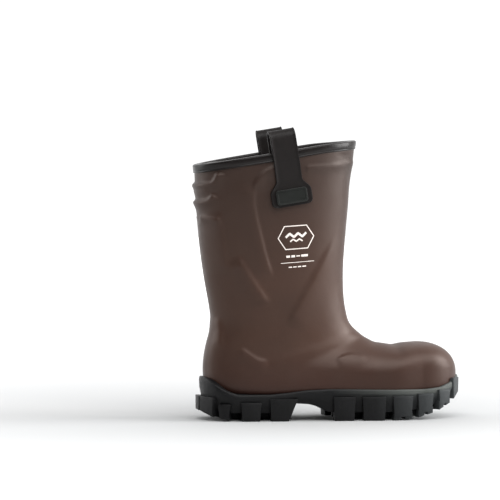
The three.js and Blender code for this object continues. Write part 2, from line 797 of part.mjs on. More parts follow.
const finish = (color, roughness, metalness = 0) => ({ color, roughness, metalness });
const finishes = {
  upper: finish(0x4a362f, 0.42),
  sole: finish(0x1f1f21, 0.6),
  binding: finish(0x2a201d, 0.3),
  loop: finish(0x2b201d, 0.4),
  anchor: finish(0x262724, 0.45),
  lining: finish(0x8c8478, 0.95),
  steel: finish(0xb0b3b5, 0.35, 1),
  board: finish(0xc9b58f, 0.9),
  footbed: finish(0x33383d, 0.95),
  strip: finish(0x1a1a1a, 0.85),
};

function part(name, solid, look) {
  const { vertProperties, triVerts, numProp } = solid.getMesh();
  const positions = new Float32Array((vertProperties.length / numProp) * 3);
  for (let n = 0; n < positions.length / 3; n += 1) {
    positions.set(vertProperties.subarray(n * numProp, n * numProp + 3), 3 * n);
  }
  const geometry = new THREE.BufferGeometry();
  geometry.setAttribute("position", new THREE.BufferAttribute(positions, 3));
  geometry.setIndex(new THREE.BufferAttribute(Uint32Array.from(triVerts), 1));
  geometry.computeVertexNormals();
  const mesh = new THREE.Mesh(geometry, new THREE.MeshStandardMaterial(look));
  mesh.name = name;
  return mesh;
}

const boot = new THREE.Group();
boot.add(
  part("upper_shell", upperSolid(), finishes.upper),
  part("outsole", outsoleSolid(), finishes.sole),
  part("shaft_lining", liningSolid(), finishes.lining),
  part("collar_binding", bindingSolid(), finishes.binding),
  part("toe_cap", toeCapSolid(), finishes.steel),
  part("toe_cap_edge_strip", capStripSolid(), finishes.strip),
  part("penetration_plate", plateSolid(), finishes.steel),
  part("insole_board", boardSolid(), finishes.board),
  part("footbed", footbedSolid(), finishes.footbed),
);
for (const [side, sideName] of [[-1, "lateral"], [1, "medial"]]) {
  boot.add(
    part(`pull_loop_${sideName}`, loopSolid(side), finishes.loop),
    part(`loop_anchor_${sideName}`, anchorSolid(side), finishes.anchor),
    part(`loop_retainer_${sideName}`, retainerSolid(side), finishes.steel),
  );
}

// The origin stands under the middle of the whole boot.
const extent = new THREE.Box3().setFromObject(boot);
const middle = extent.getCenter(new THREE.Vector3());
boot.position.set(-middle.x, -middle.y, -extent.min.z);

export default boot;
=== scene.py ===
"""Pull-on safety boot for a right foot, dressed on its fixed frame.

Sizes are in millimetres in the last-maker's own axes: x runs from heel to toe, y to the inner side of the
foot and z up from the ground. `Drawing` carries them to metres in the frame, where the pieces stand.
"""

from __future__ import annotations

import json
import logging
import math
from dataclasses import dataclass, field
from enum import Enum
from functools import cached_property
from typing import Any, Sequence

import bmesh
import bpy
import numpy as np
from mathutils import Matrix, Vector
from mathutils.bvhtree import BVHTree


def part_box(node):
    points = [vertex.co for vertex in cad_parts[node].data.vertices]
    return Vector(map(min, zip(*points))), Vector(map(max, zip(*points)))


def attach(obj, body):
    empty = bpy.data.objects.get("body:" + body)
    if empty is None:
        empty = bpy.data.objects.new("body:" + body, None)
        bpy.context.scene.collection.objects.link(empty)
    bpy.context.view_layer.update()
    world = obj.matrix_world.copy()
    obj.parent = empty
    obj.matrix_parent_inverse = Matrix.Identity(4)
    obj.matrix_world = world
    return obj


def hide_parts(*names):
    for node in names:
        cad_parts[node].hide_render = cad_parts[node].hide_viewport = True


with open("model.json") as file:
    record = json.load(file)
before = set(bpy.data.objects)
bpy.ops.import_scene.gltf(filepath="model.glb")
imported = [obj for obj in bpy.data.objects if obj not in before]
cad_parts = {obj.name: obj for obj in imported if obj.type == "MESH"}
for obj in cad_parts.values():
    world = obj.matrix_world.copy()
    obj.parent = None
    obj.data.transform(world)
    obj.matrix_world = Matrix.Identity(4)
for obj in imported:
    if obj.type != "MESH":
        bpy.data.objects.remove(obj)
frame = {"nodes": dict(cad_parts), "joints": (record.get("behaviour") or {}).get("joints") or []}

log = logging.getLogger("safety_boot")

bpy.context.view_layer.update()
# What touching pieces keep between them, in millimetres
GAP = 0.3


class Side(Enum):
    """The two sides of the foot; the value is the sign of y."""

    LATERAL = -1
    MEDIAL = 1

    @property
    def word(self) -> str:
        """The side's name as the frame's nodes and bodies use it."""
        return self.name.lower()


# ------------------------------------------------------------------ the drawing and the frame


@dataclass(frozen=True)
class Drawing:
    """The last-maker's axes in the frame.

    Attributes:
        toe_tip: where the upper's toe ends on the drawing, in millimetres.
    """

    toe_tip: float = 307.5

    @cached_property
    def origin(self) -> np.ndarray:
        """The frame's origin on the drawing, from where the upper and the two loop anchors stand."""
        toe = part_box("upper_shell")[1].x * 1000
        boxes = [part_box(f"loop_anchor_{side.word}") for side in Side]
        middle = sum(corner.y for box in boxes for corner in box) / 4 * 1000
        return np.array([self.toe_tip - toe, -middle, 0.0])

    def place(self, points: np.ndarray) -> np.ndarray:
        """Points of the drawing in the frame, in metres.

        Args:
            points: an array whose last axis is x, y, z in millimetres.

        Returns:
            The same points in metres.
        """
        return (np.asarray(points, float) - self.origin) / 1000


DRAWING = Drawing()


def smoothstep(x: np.ndarray, low: float, high: float) -> np.ndarray:
    """Rises smoothly from 0 at low to 1 at high.

    Args:
        x: where to read it.
        low, high: where it starts and ends.

    Returns:
        Its value at each x.
    """
    t = np.clip((x - low) / (high - low), 0, 1)
    return t * t * (3 - 2 * t)


def unit(vectors: np.ndarray) -> np.ndarray:
    """Vectors along the last axis, made one long."""
    return vectors / np.maximum(np.linalg.norm(vectors, axis=-1, keepdims=True), 1e-12)


# ------------------------------------------------------------------ mesh helpers


def wrapped_grid(place: np.ndarray) -> bmesh.types.BMesh:
    """A grid wrapped round into a tube: its columns meet, and its end rows are poles or meet as well.

    Args:
        place: rows x columns x 3 in metres. The last column repeats the first.

    Returns:
        A bmesh with a UV map named surface, whose seams and poles are closed.
    """
    rows, columns = place.shape[0] - 1, place.shape[1] - 1
    mesh = bmesh.new()
    mesh.loops.layers.uv.new("surface")
    bmesh.ops.create_grid(mesh, x_segments=columns, y_segments=rows, size=0.5, calc_uvs=True)
    for vertex in mesh.verts:
        column = round((vertex.co.x + 0.5) * columns)
        row = round((vertex.co.y + 0.5) * rows)
        vertex.co = place[row, column]
    bmesh.ops.remove_doubles(mesh, verts=mesh.verts, dist=1e-6)
    bmesh.ops.dissolve_degenerate(mesh, edges=mesh.edges, dist=1e-7)
    bmesh.ops.recalc_face_normals(mesh, faces=mesh.faces)
    return mesh


def ease(
    mesh: bmesh.types.BMesh, edges: Sequence[bmesh.types.BMEdge], size: float, segments: int = 2
) -> None:
    """Rounds edges over.

    Args:
        mesh: the mesh that the edges are in.
        edges: the edges.
        size: the rounding's size in millimetres.
        segments: how many faces it has across.
    """
    bmesh.ops.bevel(
        mesh,
        geom=list(edges),
        offset=size / 1000,
        segments=segments,
        affect="EDGES",
        profile=0.5,
        material=-1,
        clamp_overlap=True,
    )


def gather(meshes: Sequence[bmesh.types.BMesh]) -> bmesh.types.BMesh:
    """Several meshes as one.

    Args:
        meshes: the meshes, which are freed.

    Returns:
        One mesh with all their faces.
    """
    whole = bmesh.new()
    for mesh in meshes:
        loose = bpy.data.meshes.new("loose")
        mesh.to_mesh(loose)
        mesh.free()
        whole.from_mesh(loose)
        bpy.data.meshes.remove(loose)
    return whole


def finished_piece(
    name: str,
    mesh: bmesh.types.BMesh,
    finish: bpy.types.Material,
    body: str,
    *,
    stands_for: Sequence[str] = (),
    sharp: float = 40,
) -> bpy.types.Object:
    """Turns a mesh into a piece of the boot that rides on a body of the frame.

    Args:
        name: the piece's name.
        mesh: its mesh in the frame, which is freed.
        finish: its material.
        body: the body that it moves with.
        stands_for: the frame's nodes that it replaces.
        sharp: the angle in degrees past which an edge looks sharp.

    Returns:
        The piece.
    """
    data = bpy.data.meshes.new(name)
    mesh.to_mesh(data)
    mesh.free()
    data.shade_smooth()
    data.set_sharp_from_angle(angle=math.radians(sharp))
    data.materials.append(finish)
    piece = bpy.data.objects.new(name, data)
    bpy.context.scene.collection.objects.link(piece)
    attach(piece, body)
    if stands_for:
        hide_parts(*stands_for)
    triangles = sum(len(face.vertices) - 2 for face in data.polygons)
    log.info("%s: %d triangles on %s", name, triangles, body)
    return piece


# ------------------------------------------------------------------ finishes


class Recipe:
    """A material's nodes while they are put together."""

    def __init__(self, name: str) -> None:
        """Starts a material with a shader and its output.

        Args:
            name: the material's name.
        """
        self.material = bpy.data.materials.new(name)
        self.material.use_nodes = True
        self.tree = self.material.node_tree
        self.tree.nodes.clear()
        self.output = self.tree.nodes.new("ShaderNodeOutputMaterial")
        self.shader = self.tree.nodes.new("ShaderNodeBsdfPrincipled")
        self.join(self.shader.outputs[0], self.output.inputs["Surface"])

    def node(self, kind: str, settings: dict[str, Any] | None = None, **inputs: Any) -> bpy.types.Node:
        """Adds a node.

        Args:
            kind: the node's type, without its ShaderNode prefix.
            settings: the node's own properties.
            **inputs: values or sockets for its inputs, by name with _ for a space; _0 and so on by place.

        Returns:
            The node.
        """
        made = self.tree.nodes.new(f"ShaderNode{kind}")
        for key, value in (settings or {}).items():
            setattr(made, key, value)
        for key, value in inputs.items():
            socket = made.inputs[int(key[1:])] if key.startswith("_") else made.inputs[key.replace("_", " ")]
            self.feed(socket, value)
        return made

    def feed(self, socket: bpy.types.NodeSocket, value: Any) -> None:
        """Gives an input a value or joins it to a socket.

        Args:
            socket: the input.
            value: a value, or the output to join to it.
        """
        if isinstance(value, bpy.types.NodeSocket):
            self.join(value, socket)
        else:
            socket.default_value = value

    def join(self, source: bpy.types.NodeSocket, target: bpy.types.NodeSocket) -> None:
        """Joins two sockets."""
        self.tree.links.new(source, target)

    def set(self, **inputs: Any) -> None:
        """Feeds the shader's inputs, by name with _ for a space."""
        for key, value in inputs.items():
            self.feed(self.shader.inputs[key.replace("_", " ")], value)

    def place(self) -> bpy.types.NodeSocket:
        """Object coordinates, in metres."""
        return self.node("TexCoord").outputs["Object"]

    def surface(self) -> bpy.types.NodeSocket:
        """The piece's own UV map."""
        return self.node("UVMap", {"uv_map": "surface"}).outputs["UV"]

    def noise(
        self, at: bpy.types.NodeSocket, scale: float, detail: float = 2, rough: float = 0.5
    ) -> bpy.types.NodeSocket:
        """Noise from 0 to 1.

        Args:
            at: the coordinates.
            scale: how many lumps there are in a metre.
            detail: how many finer layers it has.
            rough: how strong those are.

        Returns:
            The noise as a socket.
        """
        made = self.node("TexNoise", Vector=at, Scale=scale, Detail=detail, Roughness=rough)
        return made.outputs["Fac"]

    def spread(
        self, value: bpy.types.NodeSocket, low: float, high: float, to_low: float, to_high: float
    ) -> bpy.types.NodeSocket:
        """Maps low..high to to_low..to_high, clamped.

        Args:
            value: the number to map, as a socket.
            low, high: the range it is read over.
            to_low, to_high: what its ends become.

        Returns:
            The mapped number as a socket.
        """
        made = self.node("MapRange", _0=value, _1=low, _2=high, _3=to_low, _4=to_high)
        return made.outputs[0]

    def blend(self, share: Any, first: Any, second: Any) -> bpy.types.NodeSocket:
        """Mixes two colours.

        Args:
            share: how much of the second there is, from 0 to 1.
            first, second: colours or sockets.

        Returns:
            The mixed colour as a socket.
        """
        made = self.node("Mix", {"data_type": "RGBA"})
        self.feed(made.inputs[0], share)
        self.feed(made.inputs[6], first)
        self.feed(made.inputs[7], second)
        return made.outputs[2]

    def sum(self, first: Any, second: Any, kind: str = "ADD") -> bpy.types.NodeSocket:
        """A sum, or another operation, of two numbers."""
        return self.node("Math", {"operation": kind}, _0=first, _1=second).outputs[0]

    def bump(self, height: bpy.types.NodeSocket, depth: float, strength: float = 1.0) -> None:
        """Raises the surface by a height from 0 to 1 times a depth in metres.

        Args:
            height: the height as a socket.
            depth: metres.
            strength: how much of it counts.
        """
        made = self.node("Bump", Height=height, Distance=depth, Strength=strength)
        self.join(made.outputs["Normal"], self.shader.inputs["Normal"])


def paint(red: int, green: int, blue: int) -> tuple[float, float, float, float]:
    """A colour as the shader takes it.

    Args:
        red, green, blue: its usual 0 to 255 values.

    Returns:
        Linear red, green and blue, and an alpha of 1.
    """
    parts = []
    for part in (red, green, blue):
        share = part / 255
        parts.append(share / 12.92 if share <= 0.04045 else ((share + 0.055) / 1.055) ** 2.4)
    return (parts[0], parts[1], parts[2], 1.0)


@dataclass(frozen=True)
class MouldedSkin:
    """Injected polyurethane with a satin skin: the upper.

    Attributes:
        colour: the skin's colour over the foot.
        low_colour: its colour just above the sole.
        high_share: how much of its colour is left up the shaft, darkened there with painted shade.
        cloud_share: how much of its colour is left where it is cloudy.
        roughness: how dull it is.
    """

    colour: tuple[int, int, int] = (60, 39, 30)
    low_colour: tuple[int, int, int] = (52, 30, 24)
    high_share: float = 0.6
    cloud_share: float = 0.8
    roughness: float = 0.45

    def material(self) -> bpy.types.Material:
        """The material, with cloudy colour, painted shade up the shaft, uneven gloss and a fine leather-like
        grain.
        """
        recipe = Recipe("moulded_brown_skin")
        at = recipe.place()
        cloud = recipe.noise(at, 14, 4, 0.6)
        height = recipe.node("SeparateXYZ", Vector=at).outputs[2]
        low = recipe.spread(height, 0.035, 0.085, 1, 0)
        darker = tuple(round(part * self.cloud_share) for part in self.colour)
        # Painted shade: the colour darkens up the shaft, where the shaft leans out and turns away from the
        # light above.
        deep = tuple(round(part * self.high_share) for part in self.colour)
        high = recipe.spread(height, 0.16, 0.3, 0, 1)
        base = recipe.blend(low, paint(*self.colour), paint(*self.low_colour))
        base = recipe.blend(high, base, paint(*deep))
        share = recipe.spread(cloud, 0.35, 0.7, 0, 0.55)
        recipe.set(Base_Color=recipe.blend(share, base, paint(*darker)))
        smear = recipe.noise(at, 60, 3, 0.6)
        recipe.set(Roughness=recipe.spread(smear, 0.3, 0.7, self.roughness - 0.04, self.roughness + 0.07))
        recipe.set(Specular_IOR_Level=0.42, Specular_Tint=(1, 0.87, 0.8, 1))
        grain = recipe.noise(at, 1500, 2, 0.5)
        soft = recipe.noise(at, 120, 2, 0.5)
        height = recipe.sum(recipe.sum(grain, 0.12, "MULTIPLY"), recipe.sum(soft, 0.6, "MULTIPLY"))
        recipe.bump(height, 0.00022)
        return recipe.material


@dataclass(frozen=True)
class SoleCompound:
    """Dense black polyurethane: the sole.

    Attributes:
        colour: its colour.
        dust: the colour of the patches on it.
        faded: its colour towards the toe, a painted highlight for the light that the toe's sidewall catches.
        worn: the colour of the painted sheen on its shoulder.
        rubbed: whether its shoulder, by its own UV map, gets painted sheen: a paler band, stronger towards
            the toe, for the light that the sole's upper edge catches.
    """

    colour: tuple[int, int, int] = (10, 10, 11)
    dust: tuple[int, int, int] = (18, 18, 20)
    faded: tuple[int, int, int] = (60, 63, 64)
    worn: tuple[int, int, int] = (74, 77, 74)
    rubbed: bool = False

    def material(self) -> bpy.types.Material:
        """The material, with a satin skin that is a little greyer in patches, paler towards the toe with a
        painted highlight, and with painted sheen along its shoulder when rubbed is set.
        """
        recipe = Recipe("rubbed_sole_compound" if self.rubbed else "black_sole_compound")
        at = recipe.place()
        patches = recipe.spread(recipe.noise(at, 45, 5, 0.65), 0.45, 0.75, 0, 0.5)
        base = recipe.blend(patches, paint(*self.colour), paint(*self.dust))
        # Painted highlight: the sole turns paler towards the toe, where its sidewall catches the light.
        ahead = recipe.spread(recipe.node("SeparateXYZ", Vector=at).outputs[0], 0.05, 0.135, 0, 0.85)
        base = recipe.blend(ahead, base, paint(*self.faded))
        # Painted sheen: a paler band along the shoulder, stronger towards the toe, stands in for the light
        # that the sole's upper edge catches.
        if self.rubbed:
            along = recipe.node("SeparateXYZ", Vector=recipe.surface()).outputs[1]
            forward = recipe.spread(recipe.node("SeparateXYZ", Vector=at).outputs[0], 0.0, 0.1, 0, 0.9)
            above, below = recipe.spread(along, 0.37, 0.4, 0, 1), recipe.spread(along, 0.56, 0.64, 1, 0)
            band = recipe.sum(recipe.sum(above, below, "MULTIPLY"), forward, "MULTIPLY")
            base = recipe.blend(band, base, paint(*self.worn))
        recipe.set(Base_Color=base)
        recipe.set(Roughness=recipe.spread(recipe.noise(at, 90, 3), 0.3, 0.7, 0.42, 0.58))
        recipe.set(Specular_IOR_Level=0.25)
        height = recipe.sum(recipe.noise(at, 2200, 2), recipe.sum(recipe.noise(at, 160, 2), 3.0, "MULTIPLY"))
        recipe.bump(height, 0.00009)
        return recipe.material


@dataclass(frozen=True)
class GlossTrim:
    """Glossy dark trim: the binding and the straps.

    Attributes:
        name: the material's name.
        colour: its colour.
        roughness: how dull it is.
        coat: how much clear gloss lies on it.
        grain: how deep its grain is, in millimetres.
    """

    name: str
    colour: tuple[int, int, int]
    roughness: float
    coat: float
    grain: float

    def material(self) -> bpy.types.Material:
        """The material, with faint streaks in its gloss and a fine grain."""
        recipe = Recipe(self.name)
        at = recipe.place()
        lighter = tuple(min(255, round(part * 1.25 + 4)) for part in self.colour)
        share = recipe.spread(recipe.noise(at, 80, 4, 0.6), 0.4, 0.75, 0, 0.6)
        recipe.set(Base_Color=recipe.blend(share, paint(*self.colour), paint(*lighter)))
        streaks = recipe.noise(at, 130, 3, 0.6)
        recipe.set(Roughness=recipe.spread(streaks, 0.3, 0.7, self.roughness - 0.04, self.roughness + 0.06))
        recipe.set(Coat_Weight=self.coat, Coat_Roughness=0.12, Specular_IOR_Level=0.22)
        recipe.bump(recipe.noise(at, 1300, 2), self.grain / 1000)
        return recipe.material


@dataclass(frozen=True)
class KnitCloth:
    """Knitted polyester cloth: the lining and the footbed's cover.

    Attributes:
        name: the material's name.
        colour: the yarn's colour.
        shade: its colour between the loops.
        rows: stitches round the piece.
        courses: stitches along it.
    """

    name: str
    # shade: its colour between the loops, painted shade in the hollows of the stitches.
    colour: tuple[int, int, int]
    shade: tuple[int, int, int]
    rows: float
    courses: float

    def material(self) -> bpy.types.Material:
        """The material, whose stitches follow the piece's own UV map, with painted shade in the hollows
        between the loops.
        """
        recipe = Recipe(self.name)
        parts = recipe.node("SeparateXYZ", Vector=recipe.surface())
        turns = recipe.sum(parts.outputs[0], self.rows * 2 * math.pi, "MULTIPLY")
        climb = recipe.sum(parts.outputs[1], self.courses * 2 * math.pi, "MULTIPLY")
        ribs = recipe.node("Math", {"operation": "SINE"}, _0=turns).outputs[0]
        folded = recipe.node("Math", {"operation": "ABSOLUTE"}, _0=ribs).outputs[0]
        slanted = recipe.sum(climb, recipe.sum(folded, 2.2, "MULTIPLY"))
        loops = recipe.node("Math", {"operation": "SINE"}, _0=slanted).outputs[0]
        height = recipe.spread(recipe.sum(recipe.sum(ribs, 0.5, "MULTIPLY"), loops), -1.5, 1.5, 0, 1)
        fuzz = recipe.noise(recipe.place(), 900, 3, 0.7)
        share = recipe.sum(height, recipe.sum(fuzz, 0.35, "MULTIPLY"), "SUBTRACT")
        # Painted shade: the colour darkens where the stitch height is low, between the loops.
        recipe.set(Base_Color=recipe.blend(share, paint(*self.shade), paint(*self.colour)))
        recipe.set(Roughness=0.95, Sheen_Weight=0.25, Sheen_Roughness=0.4)
        recipe.bump(recipe.sum(height, recipe.sum(fuzz, 0.5, "MULTIPLY")), 0.0004)
        return recipe.material


@dataclass(frozen=True)
class PressedSteel:
    """Pressed and phosphated steel: the toe cap, the midsole plate and the retainers.

    Attributes:
        name: the material's name.
        colour: the steel's colour.
        roughness: how dull it is.
    """

    name: str = "phosphated_steel"
    colour: tuple[int, int, int] = (132, 136, 140)
    roughness: float = 0.38

    def material(self) -> bpy.types.Material:
        """The material, with drawing marks along the boot and darker patches."""
        recipe = Recipe(self.name)
        at = recipe.place()
        stretch = recipe.node("Mapping", Vector=at, Scale=(0.08, 1.0, 1.0)).outputs[0]
        marks = recipe.noise(stretch, 900, 3, 0.6)
        patches = recipe.spread(recipe.noise(at, 40, 5, 0.7), 0.4, 0.7, 0, 1)
        darker = tuple(round(part * 0.6) for part in self.colour)
        recipe.set(Base_Color=recipe.blend(patches, paint(*self.colour), paint(*darker)), Metallic=1.0)
        recipe.set(Roughness=recipe.spread(marks, 0.3, 0.7, self.roughness - 0.08, self.roughness + 0.14))
        recipe.bump(marks, 0.00004)
        return recipe.material


@dataclass(frozen=True)
class FibreSheet:
    """Pressed fibre or foam with a speckle: the insole board and the strip behind the toe cap.

    Attributes:
        name: the material's name.
        colour: its colour.
        fleck: the colour of its flecks.
        scale: flecks in a metre.
        pits: how deep it is pitted, in millimetres.
    """

    name: str
    colour: tuple[int, int, int]
    fleck: tuple[int, int, int]
    scale: float
    pits: float

    def material(self) -> bpy.types.Material:
        """The material, matt, with flecks and pits."""
        recipe = Recipe(self.name)
        at = recipe.place()
        flecks = recipe.node("TexVoronoi", Vector=at, Scale=self.scale).outputs["Distance"]
        share = recipe.spread(flecks, 0.1, 0.45, 0.8, 0)
        recipe.set(Base_Color=recipe.blend(share, paint(*self.colour), paint(*self.fleck)))
        recipe.set(Roughness=0.9)
        recipe.bump(recipe.sum(flecks, recipe.noise(at, self.scale / 2, 3)), self.pits / 1000)
        return recipe.material


@dataclass(frozen=True)
class PrintInk:
    """Off-white ink printed on the shaft.

    Attributes:
        colour: its colour.
        thin: its colour where the skin shows through.
    """

    colour: tuple[int, int, int] = (236, 226, 219)
    thin: tuple[int, int, int] = (168, 150, 141)

    def material(self) -> bpy.types.Material:
        """The material, a little patchy where the ink is thin."""
        recipe = Recipe("off_white_ink")
        at = recipe.place()
        share = recipe.spread(recipe.noise(at, 1500, 3, 0.7), 0.5, 0.75, 0, 0.35)
        recipe.set(Base_Color=recipe.blend(share, paint(*self.colour), paint(*self.thin)), Roughness=0.5)
        recipe.bump(recipe.noise(at, 3000, 2), 0.00003)
        return recipe.material


# ------------------------------------------------------------------ the last


@dataclass
class Last:
    """The boot's outer form: rings that start level with the rim, fan round the instep and close on the toe.

    A ring's place is from 0 at the rim to 1 at the ball of the foot, and on to 2 at the toe's tip.
    A shaft station is its share of the rise, front x, back x and half width. A foot station is its top x, z,
    heel or sole x, z, half width, sideways shift, and the roundness of its top and of its sole end.

    Attributes:
        rim_front, rim_back: heights of the rim's front and back.
        instep, neck: heights where the shaft's front and back end.
        shaft, foot: the stations.
        toe: where the toe starts, its tip's height and sideways shift, and its roundness from above.
        toe_skin_over: how far the skin reaches past the drawn toe.
        front_dip: how far the rim's front corner dips.
        front_corner: where in x that dip starts and where it is whole.
        toe_fullness: the toe's roundness from the side, over its tip; 2 is round.
        turns: points round a ring.
        columns: the stations as one smoothed table, from the rim to the ball of the foot.
    """

    rim_front: float = 328
    rim_back: float = 297
    instep: float = 120
    neck: float = 107
    shaft: tuple[tuple[float, ...], ...] = (
        (1, 187, -3.5, 52),
        (0.78, 182.3, -1.5, 51),
        (0.525, 177, 2.4, 48),
        (0.31, 173.3, 8, 45),
        (0.12, 173.8, 14.5, 42.5),
        (0, 178, 15.5, 41),
    )
    foot: tuple[tuple[float, ...], ...] = (
        (182, 111, 9.1, 84, 41, 0, 0.92, 0.82),
        (187, 105.5, 6.5, 61, 41.5, 0, 0.95, 0.78),
        (192, 101, 9, 42, 42, -1, 0.95, 0.7),
        (197, 97, 22, 29, 42.5, -1, 0.95, 0.55),
        (203, 93.5, 60, 26, 43, -2, 0.95, 0.38),
        (210, 90, 110, 26, 44, -3, 0.95, 0.36),
        (219, 88.5, 162, 20.5, 47, -2, 0.95, 0.38),
        (230, 87.3, 205, 18, 51, 0, 0.92, 0.4),
        (243, 88.1, 235, 20, 53, 2, 0.85, 0.42),
        (262, 89.2, 262, 24.5, 51, 5, 0.78, 0.42),
    )
    toe: tuple[float, float, float, float] = (262, 50, 9, 2.4)
    toe_skin_over: float = 1.8
    front_dip: float = 2.6
    front_corner: tuple[float, float] = (135, 192)
    toe_fullness: float = 2.3
    turns: int = 240
    columns: np.ndarray = field(init=False, repr=False)

    def __post_init__(self) -> None:
        """Sets the stations out as one table, smoothed a little between them."""
        rows = [
            (front, self.instep + (self.rim_front - self.instep) * rise, back,
             self.neck + (self.rim_back - self.neck) * rise, half, 0, 0.92, 0.86)
            for rise, front, back, half in self.shaft
        ]
        table = np.array([*rows, *self.foot], float)
        fine = self.between(table, np.linspace(0, 1, 1501))
        reach = np.arange(-80, 81)
        weight = np.exp(-((reach / 20) ** 2) / 2)
        weight /= weight.sum()
        head = 2 * fine[0] - fine[80:0:-1]
        tail = 2 * fine[-1] - fine[-2:-82:-1]
        longer = np.vstack([head, fine, tail])
        self.columns = np.stack([np.convolve(longer[:, n], weight, "valid") for n in range(8)], axis=1)

    @staticmethod
    def between(table: np.ndarray, share: np.ndarray) -> np.ndarray:
        """A smooth curve through a table's rows.

        Args:
            table: the rows it passes through, evenly apart.
            share: places along it, from 0 to 1.

        Returns:
            One row for each place.
        """
        padded = np.vstack([2 * table[0] - table[1], table, 2 * table[-1] - table[-2]])
        at = np.asarray(share) * (len(table) - 1)
        n = np.minimum(at.astype(int), len(table) - 2)
        t = (at - n)[:, None]
        before, start, end, after = padded[n], padded[n + 1], padded[n + 2], padded[n + 3]
        leave, arrive = (end - before) / 2, (after - start) / 2
        return (
            (2 * t**3 - 3 * t**2 + 1) * start
            + (t**3 - 2 * t**2 + t) * leave
            + (3 * t**2 - 2 * t**3) * end
            + (t**3 - t**2) * arrive
        )

    def rings(self, place: np.ndarray) -> np.ndarray:
        """The rings' sizes.

        Args:
            place: the rings' places, from 0 to 2.

        Returns:
            For each ring its top x, z, sole x, z, half width, shift and two roundnesses.
        """
        place = np.asarray(place, float)
        at = np.clip(place, 0, 1) * (len(self.columns) - 1)
        lines = [np.interp(at, np.arange(len(self.columns)), column) for column in self.columns.T]
        rows = np.stack(lines, axis=1)
        turn = np.clip(place - 1, 0, 1) * math.pi / 2
        start, tip_height, tip_shift, roundness = self.toe
        reach, lean = np.sin(turn), np.cos(turn)
        on_toe = place > 1
        last = self.columns[-1]
        x = start + (DRAWING.toe_tip + self.toe_skin_over - start) * reach
        full = np.maximum(1 - reach**self.toe_fullness, 0) ** (1 / self.toe_fullness)
        toe = np.stack(
            [
                x,
                tip_height + (last[1] - tip_height) * full,
                x,
                tip_height + (last[3] - tip_height) * lean,
                last[4] * np.maximum(1 - reach**roundness, 0) ** (1 / roundness),
                last[5] + (tip_shift - last[5]) * reach,
                np.full_like(x, last[6]),
                np.full_like(x, last[7]),
            ],
            axis=1,
        )
        return np.where(on_toe[:, None], toe, rows)

    def skin(self, place: np.ndarray) -> np.ndarray:
        """Points on the form, spaced evenly round each ring from its top.

        Args:
            place: the rings' places.

        Returns:
            Rings x (turns + 1) x 3, in millimetres; the last column repeats the first.
        """
        top_x, top_z, sole_x, sole_z, half, shift, top_round, sole_round = self.rings(place).T
        turn = np.linspace(0, math.pi, 721)
        cosine = np.cos(turn)[None, :]
        power = np.where(cosine >= 0, top_round[:, None], sole_round[:, None])
        along = np.sign(cosine) * np.abs(cosine) ** power
        across = np.abs(np.sin(turn))[None, :] ** power
        length = np.hypot(top_x - sole_x, top_z - sole_z) / 2
        steps = np.hypot(np.diff(along) * length[:, None], np.diff(across) * half[:, None])
        run = np.concatenate([np.zeros((len(length), 1)), np.cumsum(steps, axis=1)], axis=1)
        count = self.turns // 2 + 1
        grid = np.empty((len(length), self.turns + 1, 3))
        for n in range(len(length)):
            want = np.linspace(0, run[n, -1], count)
            a = np.interp(want, run[n], along[n])
            b = np.interp(want, run[n], across[n])
            x = (top_x[n] + sole_x[n]) / 2 + (top_x[n] - sole_x[n]) / 2 * a
            z = (top_z[n] + sole_z[n]) / 2 + (top_z[n] - sole_z[n]) / 2 * a
            grid[n, :count] = np.stack([x, shift[n] + half[n] * b, z], axis=1)
            grid[n, count - 1:] = np.stack([x, shift[n] - half[n] * b, z], axis=1)[::-1]
        near_rim = 1 - smoothstep(np.asarray(place, float), 0, 0.1)[:, None]
        grid[..., 2] -= self.front_dip * near_rim * smoothstep(grid[..., 0], *self.front_corner)
        return grid

    def outwards(self, grid: np.ndarray, place: np.ndarray) -> np.ndarray:
        """The direction square to the form at each point; round the rim it stays in the rim's own plane.

        Args:
            grid: points from `skin`.
            place: their rings' places.

        Returns:
            Unit directions, of the grid's shape.
        """
        down = np.gradient(grid, axis=0)
        ring = grid[:, :-1]
        around = np.roll(ring, -1, axis=1) - np.roll(ring, 1, axis=1)
        around = np.concatenate([around, around[:, :1]], axis=1)
        normal = unit(np.cross(down, around))
        normal[np.asarray(place) > 1.999] = (1, 0, 0)
        square = self.rim_square
        flat = unit(normal - (normal @ square)[..., None] * square)
        share = np.clip(1 - np.asarray(place) / 0.03, 0, 1)[:, None, None]
        return unit(normal * (1 - share) + flat * share)

    @cached_property
    def rim_square(self) -> np.ndarray:
        """The direction square to the rim's plane, upwards."""
        rim = self.rings(np.array([0.0]))[0]
        front, back = rim[:2], rim[2:4]
        slope = (front - back) / np.linalg.norm(front - back)
        return np.array([-slope[1], 0, slope[0]])

    def even_places(self, count: int, end: float = 2.0) -> np.ndarray:
        """Places of rings that are about evenly far apart.

        Args:
            count: how many rings.
            end: the last one's place.

        Returns:
            The places, from 0 to end.
        """
        fine = np.linspace(0, end, 1200)
        grid = self.skin(fine)[:, :: self.turns // 8]
        steps = np.linalg.norm(np.diff(grid, axis=0), axis=2)
        steps = 0.5 * steps.mean(axis=1) + 0.5 * steps.max(axis=1)
        run = np.concatenate([[0], np.cumsum(steps)])
        return np.interp(np.linspace(0, run[-1], count), run, fine)

    def floor_height(self, x: np.ndarray) -> np.ndarray:
        """Height of the form's underside on its middle line, at any x."""
        rows = self.rings(np.linspace(0.55, 1.9, 300))
        low = np.maximum.accumulate(rows[:, 2])
        return np.interp(x, low, rows[:, 3])


# ------------------------------------------------------------------ the upper


